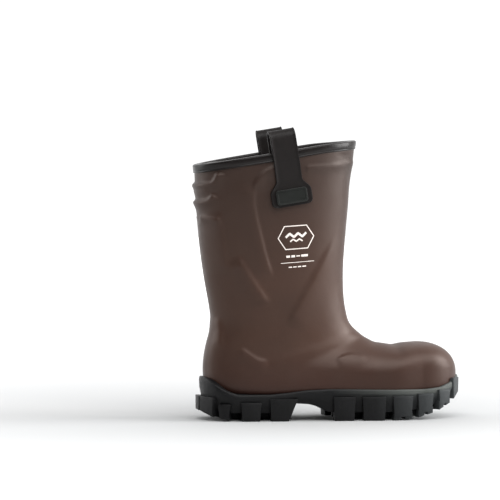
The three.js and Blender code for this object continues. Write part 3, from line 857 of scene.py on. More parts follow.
@dataclass(frozen=True)
class Ridge:
    """A line moulded in the skin: steep on one side of its crest and soft on the other.

    Attributes:
        points: the crest, in x and z; the steep side is on its right.
        height: how far the crest stands out.
        steep: width of the steep side.
        soft: width of the soft side.
        fade: how far from each end it dies away.
        sides: the sides of the foot that have it.
    """

    points: tuple[tuple[float, float], ...]
    height: float
    steep: float
    soft: float
    fade: tuple[float, float] = (8, 12)
    sides: tuple[Side, ...] = (Side.LATERAL, Side.MEDIAL)

    def rise(self, grid: np.ndarray) -> np.ndarray:
        """How far the ridge lifts the skin at each point.

        Args:
            grid: points in millimetres, whose last axis is x, y, z.

        Returns:
            The rise in millimetres.
        """
        line = np.array(self.points, float)
        for _ in range(3):
            middle = 0.75 * line[:-1] + 0.25 * line[1:], 0.25 * line[:-1] + 0.75 * line[1:]
            line = np.vstack([line[:1], np.stack(middle, axis=1).reshape(-1, 2), line[-1:]])
        spots = grid[..., [0, 2]]
        nearest = np.full(spots.shape[:-1], 1e9)
        signed = np.zeros_like(nearest)
        run = np.zeros_like(nearest)
        done = 0.0
        for start, end in zip(line[:-1], line[1:]):
            way = end - start
            length = float(np.hypot(*way))
            if length < 1e-6:
                continue
            offset = spots - start
            share = np.clip((offset @ way) / length**2, 0, 1)
            apart = offset - share[..., None] * way
            distance = np.hypot(apart[..., 0], apart[..., 1])
            cross = (way[0] * offset[..., 1] - way[1] * offset[..., 0]) / length
            closer = distance < nearest
            nearest = np.where(closer, distance, nearest)
            signed = np.where(closer, np.where(cross > 0, distance, -distance), signed)
            run = np.where(closer, done + share * length, run)
            done += length
        width = np.where(signed > 0, self.soft, self.steep)
        shape = np.exp(-((signed / width) ** 2))
        start_fade, end_fade = (max(length, 1e-3) for length in self.fade)
        ends = smoothstep(run, 0, start_fade) * smoothstep(done - run, 0, end_fade)
        sided = np.zeros_like(nearest)
        for side in self.sides:
            sided = np.maximum(sided, (grid[..., 1] * side.value >= 0).astype(float))
        return self.height * shape * ends * sided


RIDGES = (
    # The front of the rear panel, up to where it turns under the loop's tab, and its lower fold
    Ridge(
        ((84, 166), (78, 180), (73, 195), (69, 212), (65, 226), (61, 245), (59, 258), (60, 270), (63, 279)),
        2.1, 2.3, 15, (18, 16),
    ),
    Ridge(((90, 299), (78, 295), (68, 288), (62, 279), (60, 268)), 2.2, 2.6, 9, (3, 12)),
    Ridge(((78, 135), (69, 149), (59, 163), (49, 179), (41, 195)), 2.7, 4.3, 14, (12, 16)),
    # The slanted fold behind the shin
    Ridge(((167, 233), (159, 212), (147, 191), (129, 159), (109, 124), (101, 110)), 2.3, 3.6, 17, (60, 18)),
    # The trim line under the collar
    Ridge(((186, 303.5), (150, 299.5), (120, 297.5)), 1.2, 1.6, 7, (4, 4)),
    # Above the heel, and over the side of the vamp
    Ridge(((81, 68.5), (68, 69.5), (55, 78), (44, 86.5)), 1.4, 2.6, 10, (12, 10)),
    Ridge(((197, 71.5), (188, 75), (178, 76.5), (167, 74), (157, 69.5)), 1.2, 2.4, 9, (10, 8)),
    # The strip up the back
    Ridge(((30, 170), (25, 205), (21, 232), (20, 246)), 1.5, 4.0, 9, (14, 8)),
    Ridge(((22, 81), (25, 102), (20, 123)), 1.7, 3.4, 9, (12, 12)),
    Ridge(((23, 235.5), (10, 238), (1, 239)), 1.9, 1.7, 6, (2, 2)),
)


@dataclass
class HeelRibs:
    """The kick-off ribs across the back of the shaft, under the collar.

    Attributes:
        levels: where each rib crosses the back, in z.
        heights: how far each stands out.
        reach: how far forwards its ends run.
        turn_up: how far its ends climb.
        steep, soft: widths of the ledge on its upper side and of the slope under it.
    """

    levels: tuple[float, ...] = (275.5, 266, 254.8)
    heights: tuple[float, ...] = (3.5, 1.0, 3.2)
    reach: tuple[float, ...] = (18, 8, 13)
    turn_up: tuple[float, ...] = (14, 2, 8)
    steep: float = 2.1
    soft: float = 6.5

    def ridges(self) -> list[Ridge]:
        """The ribs as ridges, with a ledge that faces upwards."""
        made = []
        for z, height, reach, climb in zip(self.levels, self.heights, self.reach, self.turn_up):
            line = ((reach + 3, z + 4 + climb), (reach - 2, z + 4), (reach - 8, z + 2), (-8, z))
            made.append(Ridge(line, height, self.steep, self.soft, (5, 0)))
        return made


@dataclass
class Upper:
    """The moulded upper: one shell from the rim to the toe, open at the top.

    Attributes:
        last: the form it is moulded on.
        shaft_wall, foot_wall: its thickness in the shaft and in the foot.
        toe_skin: its thickness over the steel cap.
        pocket: where the cap's pocket starts.
        rows: rings on the outer and on the inner face.
        ribs: the ribs on its back.
        crease: where the crease behind the toe crosses at 90 high, how it slants, its width and its depth.
        plain: places between which the relief comes in, under the binding.
        tree: its mesh as built, to measure from.
    """

    last: Last
    shaft_wall: float = 4
    foot_wall: float = 5.5
    toe_skin: float = 1.9
    pocket: float = 234.9
    rows: tuple[int, int] = (290, 56)
    ribs: HeelRibs = field(default_factory=HeelRibs)
    crease: tuple[float, float, float, float] = (233, 0.28, 7, 0.9)
    plain: tuple[float, float] = (0.0125, 0.02)
    tree: BVHTree | None = None

    def wall(self, place: np.ndarray) -> np.ndarray:
        """The wall's thickness at each ring, without the cap's pocket."""
        rings = np.asarray(place) * 22
        return self.shaft_wall + (self.foot_wall - self.shaft_wall) * smoothstep(rings, 4, 7)

    def relief(self, grid: np.ndarray) -> np.ndarray:
        """How far the moulded lines, ribs and creases move the skin, in millimetres.

        Args:
            grid: points on the form.

        Returns:
            The rise at each point.
        """
        rise = sum(ridge.rise(grid) for ridge in (*RIDGES, *self.ribs.ridges()))
        x, z = grid[..., 0], grid[..., 2]
        start, slant, width, depth = self.crease
        crease = np.exp(-(((x - start - slant * (90 - z)) / width) ** 2)) * smoothstep(z, 62, 84)
        return rise - depth * crease

    def outer(self, place: np.ndarray) -> np.ndarray:
        """The outer face, with its relief.

        Args:
            place: the rings' places.

        Returns:
            Its points, in millimetres.
        """
        grid = self.last.skin(place)
        normal = self.last.outwards(grid, place)
        share = smoothstep(np.asarray(place), *self.plain)[:, None]
        return grid + normal * (self.relief(grid) * share)[..., None]

    def inner(self, place: np.ndarray) -> np.ndarray:
        """The inner face, set back for the cap's pocket in the toe.

        Args:
            place: the rings' places.

        Returns:
            Its points, in millimetres.
        """
        grid = self.last.skin(place)
        normal = self.last.outwards(grid, place)
        depth = np.where(grid[..., 0] > self.pocket, self.toe_skin, self.wall(place)[:, None])
        return grid - normal * depth[..., None]

    def build(self, finish: bpy.types.Material) -> bpy.types.Object:
        """Builds the upper.

        Args:
            finish: its material.

        Returns:
            The piece.
        """
        outside = self.outer(self.last.even_places(self.rows[0]))
        inside = self.inner(self.last.even_places(self.rows[1]))[::-1]
        mesh = wrapped_grid(DRAWING.place(np.concatenate([inside, outside])))
        self.tree = BVHTree.FromBMesh(mesh)
        return finished_piece(
            "upper_moulded_shell", mesh, finish, "boot", stands_for=("upper_shell",), sharp=60
        )

    def reach(self, start: Sequence[float], way: Sequence[float]) -> np.ndarray | None:
        """Where a line meets the upper.

        Args:
            start: a point in millimetres.
            way: the line's direction.

        Returns:
            The point that it meets first, in millimetres, or None.
        """
        hit = self.tree.ray_cast(Vector(DRAWING.place(np.array(start))), Vector(way), 1.0)[0]
        return None if hit is None else np.array(hit) * 1000 + DRAWING.origin


# ------------------------------------------------------------------ collar binding


@dataclass
class CollarBinding:
    """The glossy binding that folds over the rim.

    Attributes:
        last: the form.
        wall: thickness of everything that it folds over.
        skin: its own thickness.
        drop: how far it reaches down.
        crown: how far it stands above the rim.
    """

    last: Last
    wall: float = 6.3
    skin: float = 1.3
    drop: float = 7
    crown: float = 3.2

    def section(self) -> list[tuple[float, float]]:
        """The binding's section as outwards and upwards points, round from its outer lower edge."""
        out, inn, low = GAP + self.skin, -self.wall - GAP - self.skin, -self.drop
        points = [
            (GAP, low), (out - 0.5, low), (out - 0.1, low + 0.4), (out, low + 0.9), (out - 0.15, low + 1.5),
            (out - 0.45, low + 1.8), (out - 0.4, low + 2.2), (out - 0.1, low + 2.9), (out, low + 4.2),
            (out, 0.6),
        ]
        middle, half = (out + inn) / 2, (out - inn) / 2
        for degrees in range(10, 180, 10):
            turn = math.radians(degrees)
            lift = math.sin(turn) ** 0.7
            across = math.copysign(abs(math.cos(turn)) ** 0.8, math.cos(turn))
            points.append((middle + half * across, 0.8 + (self.crown - 0.8) * lift))
        face = -self.wall - GAP
        points += [(inn, 0.6), (inn, -3), (inn, low + 1), (inn + 0.4, low + 0.2), (face, low)]
        points += [(face, -3), (face, GAP), (GAP, GAP), (GAP, -3)]
        return points

    def build(self, finish: bpy.types.Material) -> bpy.types.Object:
        """Builds the binding.

        Args:
            finish: its material.

        Returns:
            The piece.
        """
        place = np.linspace(0, 0.05, 26)
        grid = self.last.skin(place)
        normal = self.last.outwards(grid, np.zeros_like(place))
        drops = np.concatenate([[0], np.cumsum(np.linalg.norm(np.diff(grid, axis=0), axis=2).mean(axis=1))])
        up = self.last.rim_square
        rows = []
        for out, rise in self.section():
            if rise > 0:
                rows.append(grid[0] + normal[0] * out + up * rise)
                continue
            level = np.interp(-rise, drops, np.arange(len(drops)))
            n = min(int(level), len(drops) - 2)
            t = level - n
            rows.append((grid[n] + normal[n] * out) * (1 - t) + (grid[n + 1] + normal[n + 1] * out) * t)
        rows.append(rows[0])
        mesh = wrapped_grid(DRAWING.place(np.stack(rows)))
        return finished_piece(
            "collar_binding_band", mesh, finish, "boot",
            stands_for=("collar_binding",), sharp=35,
        )


# ------------------------------------------------------------------ lining and footbed


@dataclass
class Lining:
    """The knitted sock inside the upper.

    Attributes:
        upper: the upper it lines.
        thickness: its thickness.
        under: height of the insole board's top above the upper's own floor.
        rows: rings on each face.
        tree: its mesh as built, to measure from.
    """

    upper: Upper
    thickness: float = 2
    under: float = 9.2
    rows: int = 64
    tree: BVHTree | None = None

    def face(self, depth: float, lift: float) -> np.ndarray:
        """One face of the sock, which lies flat on the board underfoot.

        Args:
            depth: how deep it lies under the upper's inner face.
            lift: how far above the board it lies underfoot.

        Returns:
            Its points, from the rim to the toe.
        """
        last = self.upper.last
        place = last.even_places(self.rows)
        grid = last.skin(place)
        grid = grid - last.outwards(grid, place) * (self.upper.wall(place) + depth)[:, None, None]
        floor = last.floor_height(grid[..., 0]) + self.under + lift
        grid[..., 2] = np.maximum(grid[..., 2], floor)
        return grid

    def build(self, finish: bpy.types.Material) -> bpy.types.Object:
        """Builds the lining.

        Args:
            finish: its material.

        Returns:
            The piece.
        """
        outside = self.face(GAP, 0.05)
        inside = self.face(GAP + self.thickness, 0.25)
        mesh = wrapped_grid(DRAWING.place(np.concatenate([outside[::-1], inside])))
        self.tree = BVHTree.FromBMesh(mesh)
        return finished_piece(
            "knitted_lining", mesh, finish, "boot", stands_for=("shaft_lining",), sharp=60
        )


@dataclass
class Footbed:
    """The loose foam footbed, a little dished, with a soft upper edge.

    Attributes:
        lining: the lining it lies in.
        base: height of its underside above the upper's own floor.
        thickness: its thickness.
        clearance: gap all round.
        middle, reach: the foot's middle in x, and how far from it the rays for the outline start.
        spine: where its middle line starts and ends.
        lean: how far its front lies to the inner side.
        turns: points round its outline.
    """

    lining: Lining
    base: float = 9.5
    thickness: float = 5
    clearance: float = 0.6
    middle: float = 152
    reach: float = 95
    spine: tuple[float, float] = (60, 245)
    lean: float = 3
    turns: int = 160

    def outline(self) -> np.ndarray:
        """The outline in x and y, found where the lining stands at the footbed's height."""
        last = self.lining.upper.last
        points = []
        for n in range(self.turns):
            angle = 2 * math.pi * n / self.turns
            way = Vector((math.cos(angle), math.sin(angle), 0))
            x = self.middle + self.reach * math.copysign(abs(way.x) ** 0.7, way.x)
            floor = float(last.floor_height(np.array([x]))[0])
            centre = np.array([x, self.lean * max(0.0, way.x), floor + self.base + 3])
            hit = self.lining.tree.ray_cast(Vector(DRAWING.place(centre)), way, 1.0)[0]
            edge = np.array(hit) * 1000 + DRAWING.origin
            inward = np.array([way.x, way.y, 0]) * self.clearance
            points.append(edge - inward)
        outline = np.array(points)[:, :2]
        for _ in range(2):
            outline = (np.roll(outline, 1, axis=0) + 2 * outline + np.roll(outline, -1, axis=0)) / 4
        return outline

    def build(self, finish: bpy.types.Material) -> bpy.types.Object:
        """Builds the footbed.

        Args:
            finish: its material.

        Returns:
            The piece.
        """
        last = self.lining.upper.last
        edge = self.outline()
        spine_x = np.clip(edge[:, 0], *self.spine)
        spine = np.stack([spine_x, self.lean * smoothstep(spine_x, 100, 240)], axis=1)
        rows = []
        sizes = [(1.0, 0.0), (0.6, 0.0), (0.03, 0.0), (0.005, 0.35), (0.0, 1.0)]
        sizes += [(0.0, self.thickness - 1.2), (0.004, self.thickness - 0.4), (0.012, self.thickness)]
        for inward, rise in sizes:
            rows.append(self.ring(edge, spine, inward, rise, last))
        for inward in np.linspace(0.03, 1.0, 16):
            dish = 0.5 - 1.3 * math.sin(math.pi / 2 * min(1.0, inward * 1.6))
            rows.append(self.ring(edge, spine, inward, self.thickness + dish, last))
        place = np.stack(rows)
        mesh = wrapped_grid(DRAWING.place(np.concatenate([place, place[:, :1]], axis=1)))
        piece = finished_piece(
            "foam_footbed", mesh, finish, "boot", stands_for=("footbed",), sharp=50
        )
        return piece

    def ring(self, edge: np.ndarray, spine: np.ndarray, inward: float, rise: float, last: Last) -> np.ndarray:
        """One ring of the footbed, drawn in towards its middle line.

        Args:
            edge: the outline.
            spine: the point of the middle line that each of its points is drawn to.
            inward: how far it is drawn in, from 0 to 1.
            rise: its height above the footbed's underside.
            last: the form.

        Returns:
            Its points, in millimetres.
        """
        flat = edge + (spine - edge) * inward
        height = last.floor_height(flat[:, 0]) + self.base + rise
        return np.column_stack([flat, height])


# ------------------------------------------------------------------ the outsole


@dataclass
class Outsole:
    """The black sole: a dished body, lugs along its sides, and rows of blocks under it.

    A line is drawn as x and z points. A side lug is its start x, end x, top and how far its front leans.

    Attributes:
        upper: the upper that stands in it.
        welt_width: the sidewall's width outside the upper.
        rear, tip: its ends.
        heel_round, heel_roundness, toe_roundness: its plan at the ends.
        welt, tread, ground: its upper edge, its underside and the feet of its lugs.
        shoulder: its upper edge's section, as outwards and upwards points from the top of the sidewall.
        lugs: the side lugs.
        stand: how far a lug stands out from the sidewall.
        under, root: how far it reaches inwards, at its foot and at its top.
        notched: which of them, counted from the heel, stand on two feet.
        notch: how high those feet are.
        heel_back: half the width of the block across the back of the heel.
        heel_rows, fore_rows: where the rows of tread blocks stand.
        tread_top: how far the tread blocks reach up into the body.
        middle_line: the sole's middle line in plan, as x and y points.
        turns: points round the body.
    """

    upper: Upper
    welt_width: float = 3.2
    rear: float = 2.3
    tip: float = 311.4
    heel_round: float = 48
    heel_roundness: float = 2.3
    toe_roundness: float = 2.4
    welt: tuple[tuple[float, float], ...] = (
        (2, 51), (8, 48.5), (16, 42.5), (28, 35.5), (42, 31), (80, 31), (100, 33), (122, 36),
        (150, 37.4), (223, 36), (264, 36), (284, 38), (298, 43), (311, 51),
    )
    tread: tuple[tuple[float, float], ...] = (
        (2, 17), (12, 12.5), (25, 9.5), (82, 9), (97, 12), (108, 20.5), (126, 19.5), (138, 16),
        (148, 10), (200, 9), (240, 9.5), (262, 13), (285, 20), (300, 29), (309, 36),
    )
    ground: tuple[tuple[float, float], ...] = (
        (-3, 15), (2, 12), (7, 8.5), (14, 5.5), (24, 2.8), (34, 1.2), (44, 0), (238, 0),
        (248, 1.6), (260, 4.2), (272, 8), (284, 13.5), (295, 20), (304, 27), (312, 34),
    )
    shoulder: tuple[tuple[float, float], ...] = (
        (-2.3, 0.1), (-1.2, -0.1), (-0.5, -0.6), (-0.1, -1.5), (0.0, -3.4), (0.12, -5.2), (0.0, -5.9),
    )
    lugs: tuple[tuple[float, float, float, float], ...] = (
        (3, 16, 28, 0), (20, 33, 20, 0), (45, 69, 22, 0), (79, 112, 26, 9), (154, 180, 28, 0),
        (188, 216, 28, 0), (224, 248, 28.5, 0), (254, 273, 31, 0), (279, 294, 35, 0), (299, 308.4, 48, 0),
    )
    stand: float = 3.6
    under: float = 17
    root: float = 1.5
    notched: tuple[int, ...] = (6, 7, 8)
    notch: float = 3.2
    heel_back: float = 15.0
    heel_rows: tuple[float, ...] = (24, 41, 58, 75, 92)
    fore_rows: tuple[float, ...] = (168, 185, 202, 219, 236, 253, 270)
    tread_top: float = 1.5
    middle_line: tuple[tuple[float, float], ...] = ((40, 0), (110, -2.5), (205, 0), (270, 6))
    turns: int = 260

    def height(self, line: tuple[tuple[float, float], ...], x: np.ndarray) -> np.ndarray:
        """Height of a line at any x, with its corners a little rounded.

        Args:
            line: the line's x and z points.
            x: where to read it.

        Returns:
            The height at each x.
        """
        points = np.array(line)
        reach = np.linspace(-4, 4, 9)
        weight = np.exp(-((reach / 2.2) ** 2) / 2)
        spots = np.asarray(x, float)[..., None] + reach
        return (np.interp(spots, points[:, 0], points[:, 1]) * weight).sum(axis=-1) / weight.sum()

    def girth(self, x: np.ndarray) -> tuple[np.ndarray, np.ndarray]:
        """Half width and middle of the sidewall in plan.

        Args:
            x: where to read them.

        Returns:
            The half width and the middle's y at each x.
        """
        rows = self.upper.last.rings(np.linspace(0.6, 1.0, 120))
        start = self.upper.last.toe[0]
        inside = np.clip(x, self.heel_round, start)
        half = np.interp(inside, rows[:, 2], rows[:, 4]) + self.welt_width
        shift = np.interp(inside, rows[:, 2], rows[:, 5])
        heel = np.clip((self.heel_round - x) / (self.heel_round - self.rear), 0, 1)
        toe = np.clip((x - start) / (self.tip - start), 0, 1)
        half = half * np.maximum(1 - heel**self.heel_roundness, 0) ** (1 / self.heel_roundness)
        half = half * np.maximum(1 - toe**self.toe_roundness, 0) ** (1 / self.toe_roundness)
        return half, shift + (self.upper.last.toe[2] - shift) * toe

    def outline(self, count: int) -> np.ndarray:
        """The sidewall's plan as evenly spaced points, from the heel along the outer side and back.

        Args:
            count: how many points; the last repeats the first.

        Returns:
            count x 2, in millimetres.
        """
        start = self.upper.last.toe[0]
        turn = np.linspace(0, math.pi / 2, 160)
        heel = self.heel_round - (self.heel_round - self.rear) * np.cos(turn) ** 0.9
        toe = start + (self.tip - start) * np.sin(turn) ** 0.9
        x = np.concatenate([heel, np.linspace(self.heel_round, start, 200)[1:-1], toe])
        half, shift = self.girth(x)
        outer_side, inner_side = (np.stack([x, shift + sign * half], axis=1) for sign in (-1, 1))
        loop = np.concatenate([outer_side, inner_side[::-1]])
        run = np.concatenate([[0], np.cumsum(np.linalg.norm(np.diff(loop, axis=0), axis=1))])
        want = np.linspace(0, run[-1], count)
        return np.stack([np.interp(want, run, loop[:, n]) for n in range(2)], axis=1)

    def body(self) -> bmesh.types.BMesh:
        """The body: a hollow that the upper stands in, a sloping shoulder, a sidewall and an underside."""
        plan = self.outline(self.turns + 1)[:-1]
        ahead, behind = np.roll(plan, -1, axis=0), np.roll(plan, 1, axis=0)
        tangent = unit(ahead - behind)
        out = np.stack([tangent[:, 1], -tangent[:, 0]], axis=1)
        x = plan[:, 0]
        top, bottom = self.height(self.welt, x), self.height(self.tread, x)
        middle = np.array(self.middle_line)
        spine_x = np.clip(x, middle[0, 0], middle[-1, 0])
        spine = np.stack([spine_x, np.interp(spine_x, middle[:, 0], middle[:, 1])], axis=1)
        rows = [self.hollow_floor(plan, spine, share) for share in (1.0, 0.75, 0.5, 0.3, 0.2)]
        for share in (0.45, 0.6, 0.72, 0.84, 0.93, 1.0):
            rows.append(self.hollow_wall(plan, out, bottom + (top - bottom) * share))
        for offset, fall in self.shoulder:
            rows.append(np.column_stack([plan + out * offset, top + fall]))
        side = top + self.shoulder[-1][1] - bottom
        for share, offset in ((0.75, -0.3), (0.5, -1.8), (0.25, -3.8)):
            rows.append(np.column_stack([plan + out * offset, bottom + side * share]))
        for offset, rise in ((-4.6, 1.8), (-5.1, 0.5), (-6.4, 0.0)):
            rows.append(np.column_stack([plan + out * offset, bottom + rise]))
        for share in (0.25, 0.4, 0.6, 0.8, 1.0):
            flat = plan + (spine - plan) * share
            rows.append(np.column_stack([flat, self.height(self.tread, flat[:, 0])]))
        place = np.stack(rows)
        return wrapped_grid(DRAWING.place(np.concatenate([place, place[:, :1]], axis=1)))

    def hollow_floor(self, plan: np.ndarray, spine: np.ndarray, share: float) -> np.ndarray:
        """A row of the hollow's floor, a gap under the upper.

        Args:
            plan: the sidewall's plan.
            spine: the point of the middle line that each of its points is drawn to.
            share: how far it is drawn in, from 0 to 1.

        Returns:
            The row's points, in millimetres.
        """
        flat = plan + (spine - plan) * share
        limit = self.upper.last.floor_height(flat[:, 0]) + 7 * (1 - share)
        row = []
        for spot, highest in zip(flat, limit):
            hit = self.upper.reach((spot[0], spot[1], -20), (0, 0, 1))
            row.append((spot[0], spot[1], min(hit[2] if hit is not None else highest, highest) - GAP))
        return np.array(row)

    def hollow_wall(self, plan: np.ndarray, out: np.ndarray, height: np.ndarray) -> np.ndarray:
        """A row of the hollow's wall, a gap outside the upper.

        Args:
            plan: the sidewall's plan.
            out: the outward direction at each of its points.
            height: the row's height at each.

        Returns:
            The row's points, in millimetres.
        """
        row = []
        for spot, way, z in zip(plan, out, height):
            start = (spot[0] + way[0] * 30, spot[1] + way[1] * 30, z)
            hit = self.upper.reach(start, (-way[0], -way[1], 0))
            inset = np.hypot(*(hit[:2] - spot)) if hit is not None else 9.0
            inset = min(max(inset - GAP, 0.4), 9.0)
            row.append((spot[0] - way[0] * inset, spot[1] - way[1] * inset, z))
        return np.array(row)

    def side_lug(
        self, lug: tuple[float, float, float, float], side: Side, notched: bool
    ) -> list[bmesh.types.BMesh]:
        """A block that stands out from the sidewall and reaches under the tread.

        Args:
            lug: its start x, end x, top and lean.
            side: the side of the foot.
            notched: whether it stands on two feet, with a notch between them.

        Returns:
            The block, and its feet if it has any.
        """
        start_x, end_x, top, lean = lug
        xs = np.array([start_x, end_x])
        half, shift = self.girth(xs)
        ends = np.stack([xs, shift + side.value * half], axis=1)
        ground = self.height(self.ground, xs)
        if start_x > self.upper.last.toe[0] + 30:
            return [self.edge_block(ends, ground, top, lean, side.value, inset=1.7, eased=5)]
        if not notched:
            return [self.edge_block(ends, ground, top, lean, side.value)]
        blocks = [self.edge_block(ends, ground + self.notch, top, lean, side.value)]
        for start, end in ((0.03, 0.42), (0.6, 0.97)):
            shares = np.array([[start], [end]])
            foot = ends[0] + (ends[1] - ends[0]) * shares
            low = ground[0] + (ground[1] - ground[0]) * shares[:, 0]
            high = float(low.max()) + 7
            blocks.append(self.edge_block(foot, low, high, 0, side.value, inset=0.5, eased=0.6, taper=0))
        return blocks

    def heel_block(self) -> bmesh.types.BMesh:
        """The block across the back of the heel."""
        x = self.rear + 0.6
        ends = np.array([[x, self.heel_back], [x, -self.heel_back]])
        ground = self.height(self.ground, np.array([x, x]))
        return self.edge_block(ends, ground, self.lugs[0][2], 0, -1)

    def edge_block(
        self, ends: np.ndarray, ground: np.ndarray, top: float, lean: float, hand: int, *,
        inset: float = 0, eased: float = 3.4, taper: float = 1.6,
    ) -> bmesh.types.BMesh:
        """A block between two points of the sidewall, with a bevelled upper edge.

        Args:
            ends: the two points in plan.
            ground: height of its foot at each.
            top: its top.
            lean: how far the far end's foot leans back.
            hand: -1 where outwards is on the right of the way from the first point, 1 on the left.
            inset: how far it stands back from where a block usually stands out to.
            eased: the bevel of its upper edge.
            taper: how much narrower its foot is at each end.

        Returns:
            The block.
        """
        chord = ends[1] - ends[0]
        length = float(np.hypot(*chord))
        along = chord / length
        out = np.array([along[1], -along[0]]) * -hand

        def corner(end: float, outward: float, high: float) -> tuple[float, float, float]:
            """A corner's place, from the three signs that say which corner it is."""
            share = (end + 1) / 2
            foot = high < 0
            narrowing = taper if foot else 0.0
            place = narrowing + (length - 2 * narrowing - (lean if foot else 0)) * share
            inward = self.under if foot else self.root
            spot = ends[0] + along * place + out * (self.stand - inset if outward > 0 else -inward)
            return (spot[0], spot[1], float(ground[int(share)]) if foot else top)

        mesh = bmesh.new()
        bmesh.ops.create_cube(mesh, size=2)
        signs = {vertex: tuple(vertex.co) for vertex in mesh.verts}
        for vertex in mesh.verts:
            vertex.co = DRAWING.place(np.array(corner(*signs[vertex])))
        upper_front = {vertex for vertex, sign in signs.items() if sign[1] > 0 and sign[2] > 0}
        shoulder = [edge for edge in mesh.edges if upper_front.issuperset(edge.verts)]
        ease(mesh, shoulder, eased, 1)
        ease(mesh, [edge for edge in mesh.edges if edge.calc_face_angle(0) > 0.35], 0.55, 2)
        bmesh.ops.recalc_face_normals(mesh, faces=mesh.faces)
        return mesh

    def tread_blocks(self) -> list[bmesh.types.BMesh]:
        """Rows of lightning-shaped blocks between the side lugs."""
        blocks = []
        for rows in (self.heel_rows, self.fore_rows):
            for row, x in enumerate(rows):
                half, shift = (float(v) for v in self.girth(np.array(float(x))))
                room = 2 * (half - self.under - 5)
                count = max(round(room / 22), 1)
                width = room / count - 5
                for n in range(count):
                    y = shift - room / 2 + (n + 0.5) * (room / count)
                    blocks.append(self.tread_block(x, y, width, 4 if row % 2 == 0 else -4))
        return blocks

    def tread_block(self, x: float, y: float, width: float, slant: float) -> bmesh.types.BMesh:
        """One lightning-shaped block.

        Args:
            x, y: its middle.
            width: its width across the sole.
            slant: how far its halves are offset.

        Returns:
            The block.
        """
        half, long = width / 2, 5.5
        corners = [(-long, -half), (long - slant, -half), (long, -1)]
        corners += [(-dx, -dy) for dx, dy in corners]
        mesh = bmesh.new()
        bmesh.ops.create_circle(mesh, segments=6, radius=1, cap_ends=True)
        mesh.verts.ensure_lookup_table()
        for vertex, (dx, dy) in zip(mesh.verts, corners):
            foot = float(self.height(self.ground, np.array(x + dx)))
            vertex.co = DRAWING.place(np.array([x + dx, y + dy, foot]))
        grown = bmesh.ops.extrude_face_region(mesh, geom=mesh.faces[:])
        for vertex in grown["geom"]:
            if isinstance(vertex, bmesh.types.BMVert):
                drawn = np.array(vertex.co) * 1000 + DRAWING.origin
                vertex.co.z = (float(self.height(self.tread, np.array(drawn[0]))) + self.tread_top) / 1000
        ease(mesh, mesh.edges, 0.5, 2)
        bmesh.ops.recalc_face_normals(mesh, faces=mesh.faces)
        return mesh

    def build(self, finish: bpy.types.Material, rubbed: bpy.types.Material) -> list[bpy.types.Object]:
        """Builds the sole's body and its blocks.

        Args:
            finish: the blocks' material.
            rubbed: the body's, with painted sheen along its shoulder.

        Returns:
            The pieces.
        """
        lugs = [
            block for number, lug in enumerate(self.lugs) for side in Side
            for block in self.side_lug(lug, side, number in self.notched)
        ]
        parts = (
            ("outsole_body", self.body(), rubbed, 35),
            ("outsole_side_lugs", gather([*lugs, self.heel_block()]), finish, 30),
            ("outsole_tread_blocks", gather(self.tread_blocks()), finish, 30),
        )
        return [
            finished_piece(name, mesh, material, "boot", stands_for=("outsole",), sharp=sharp)
            for name, mesh, material, sharp in parts
        ]


# ------------------------------------------------------------------ pull loops


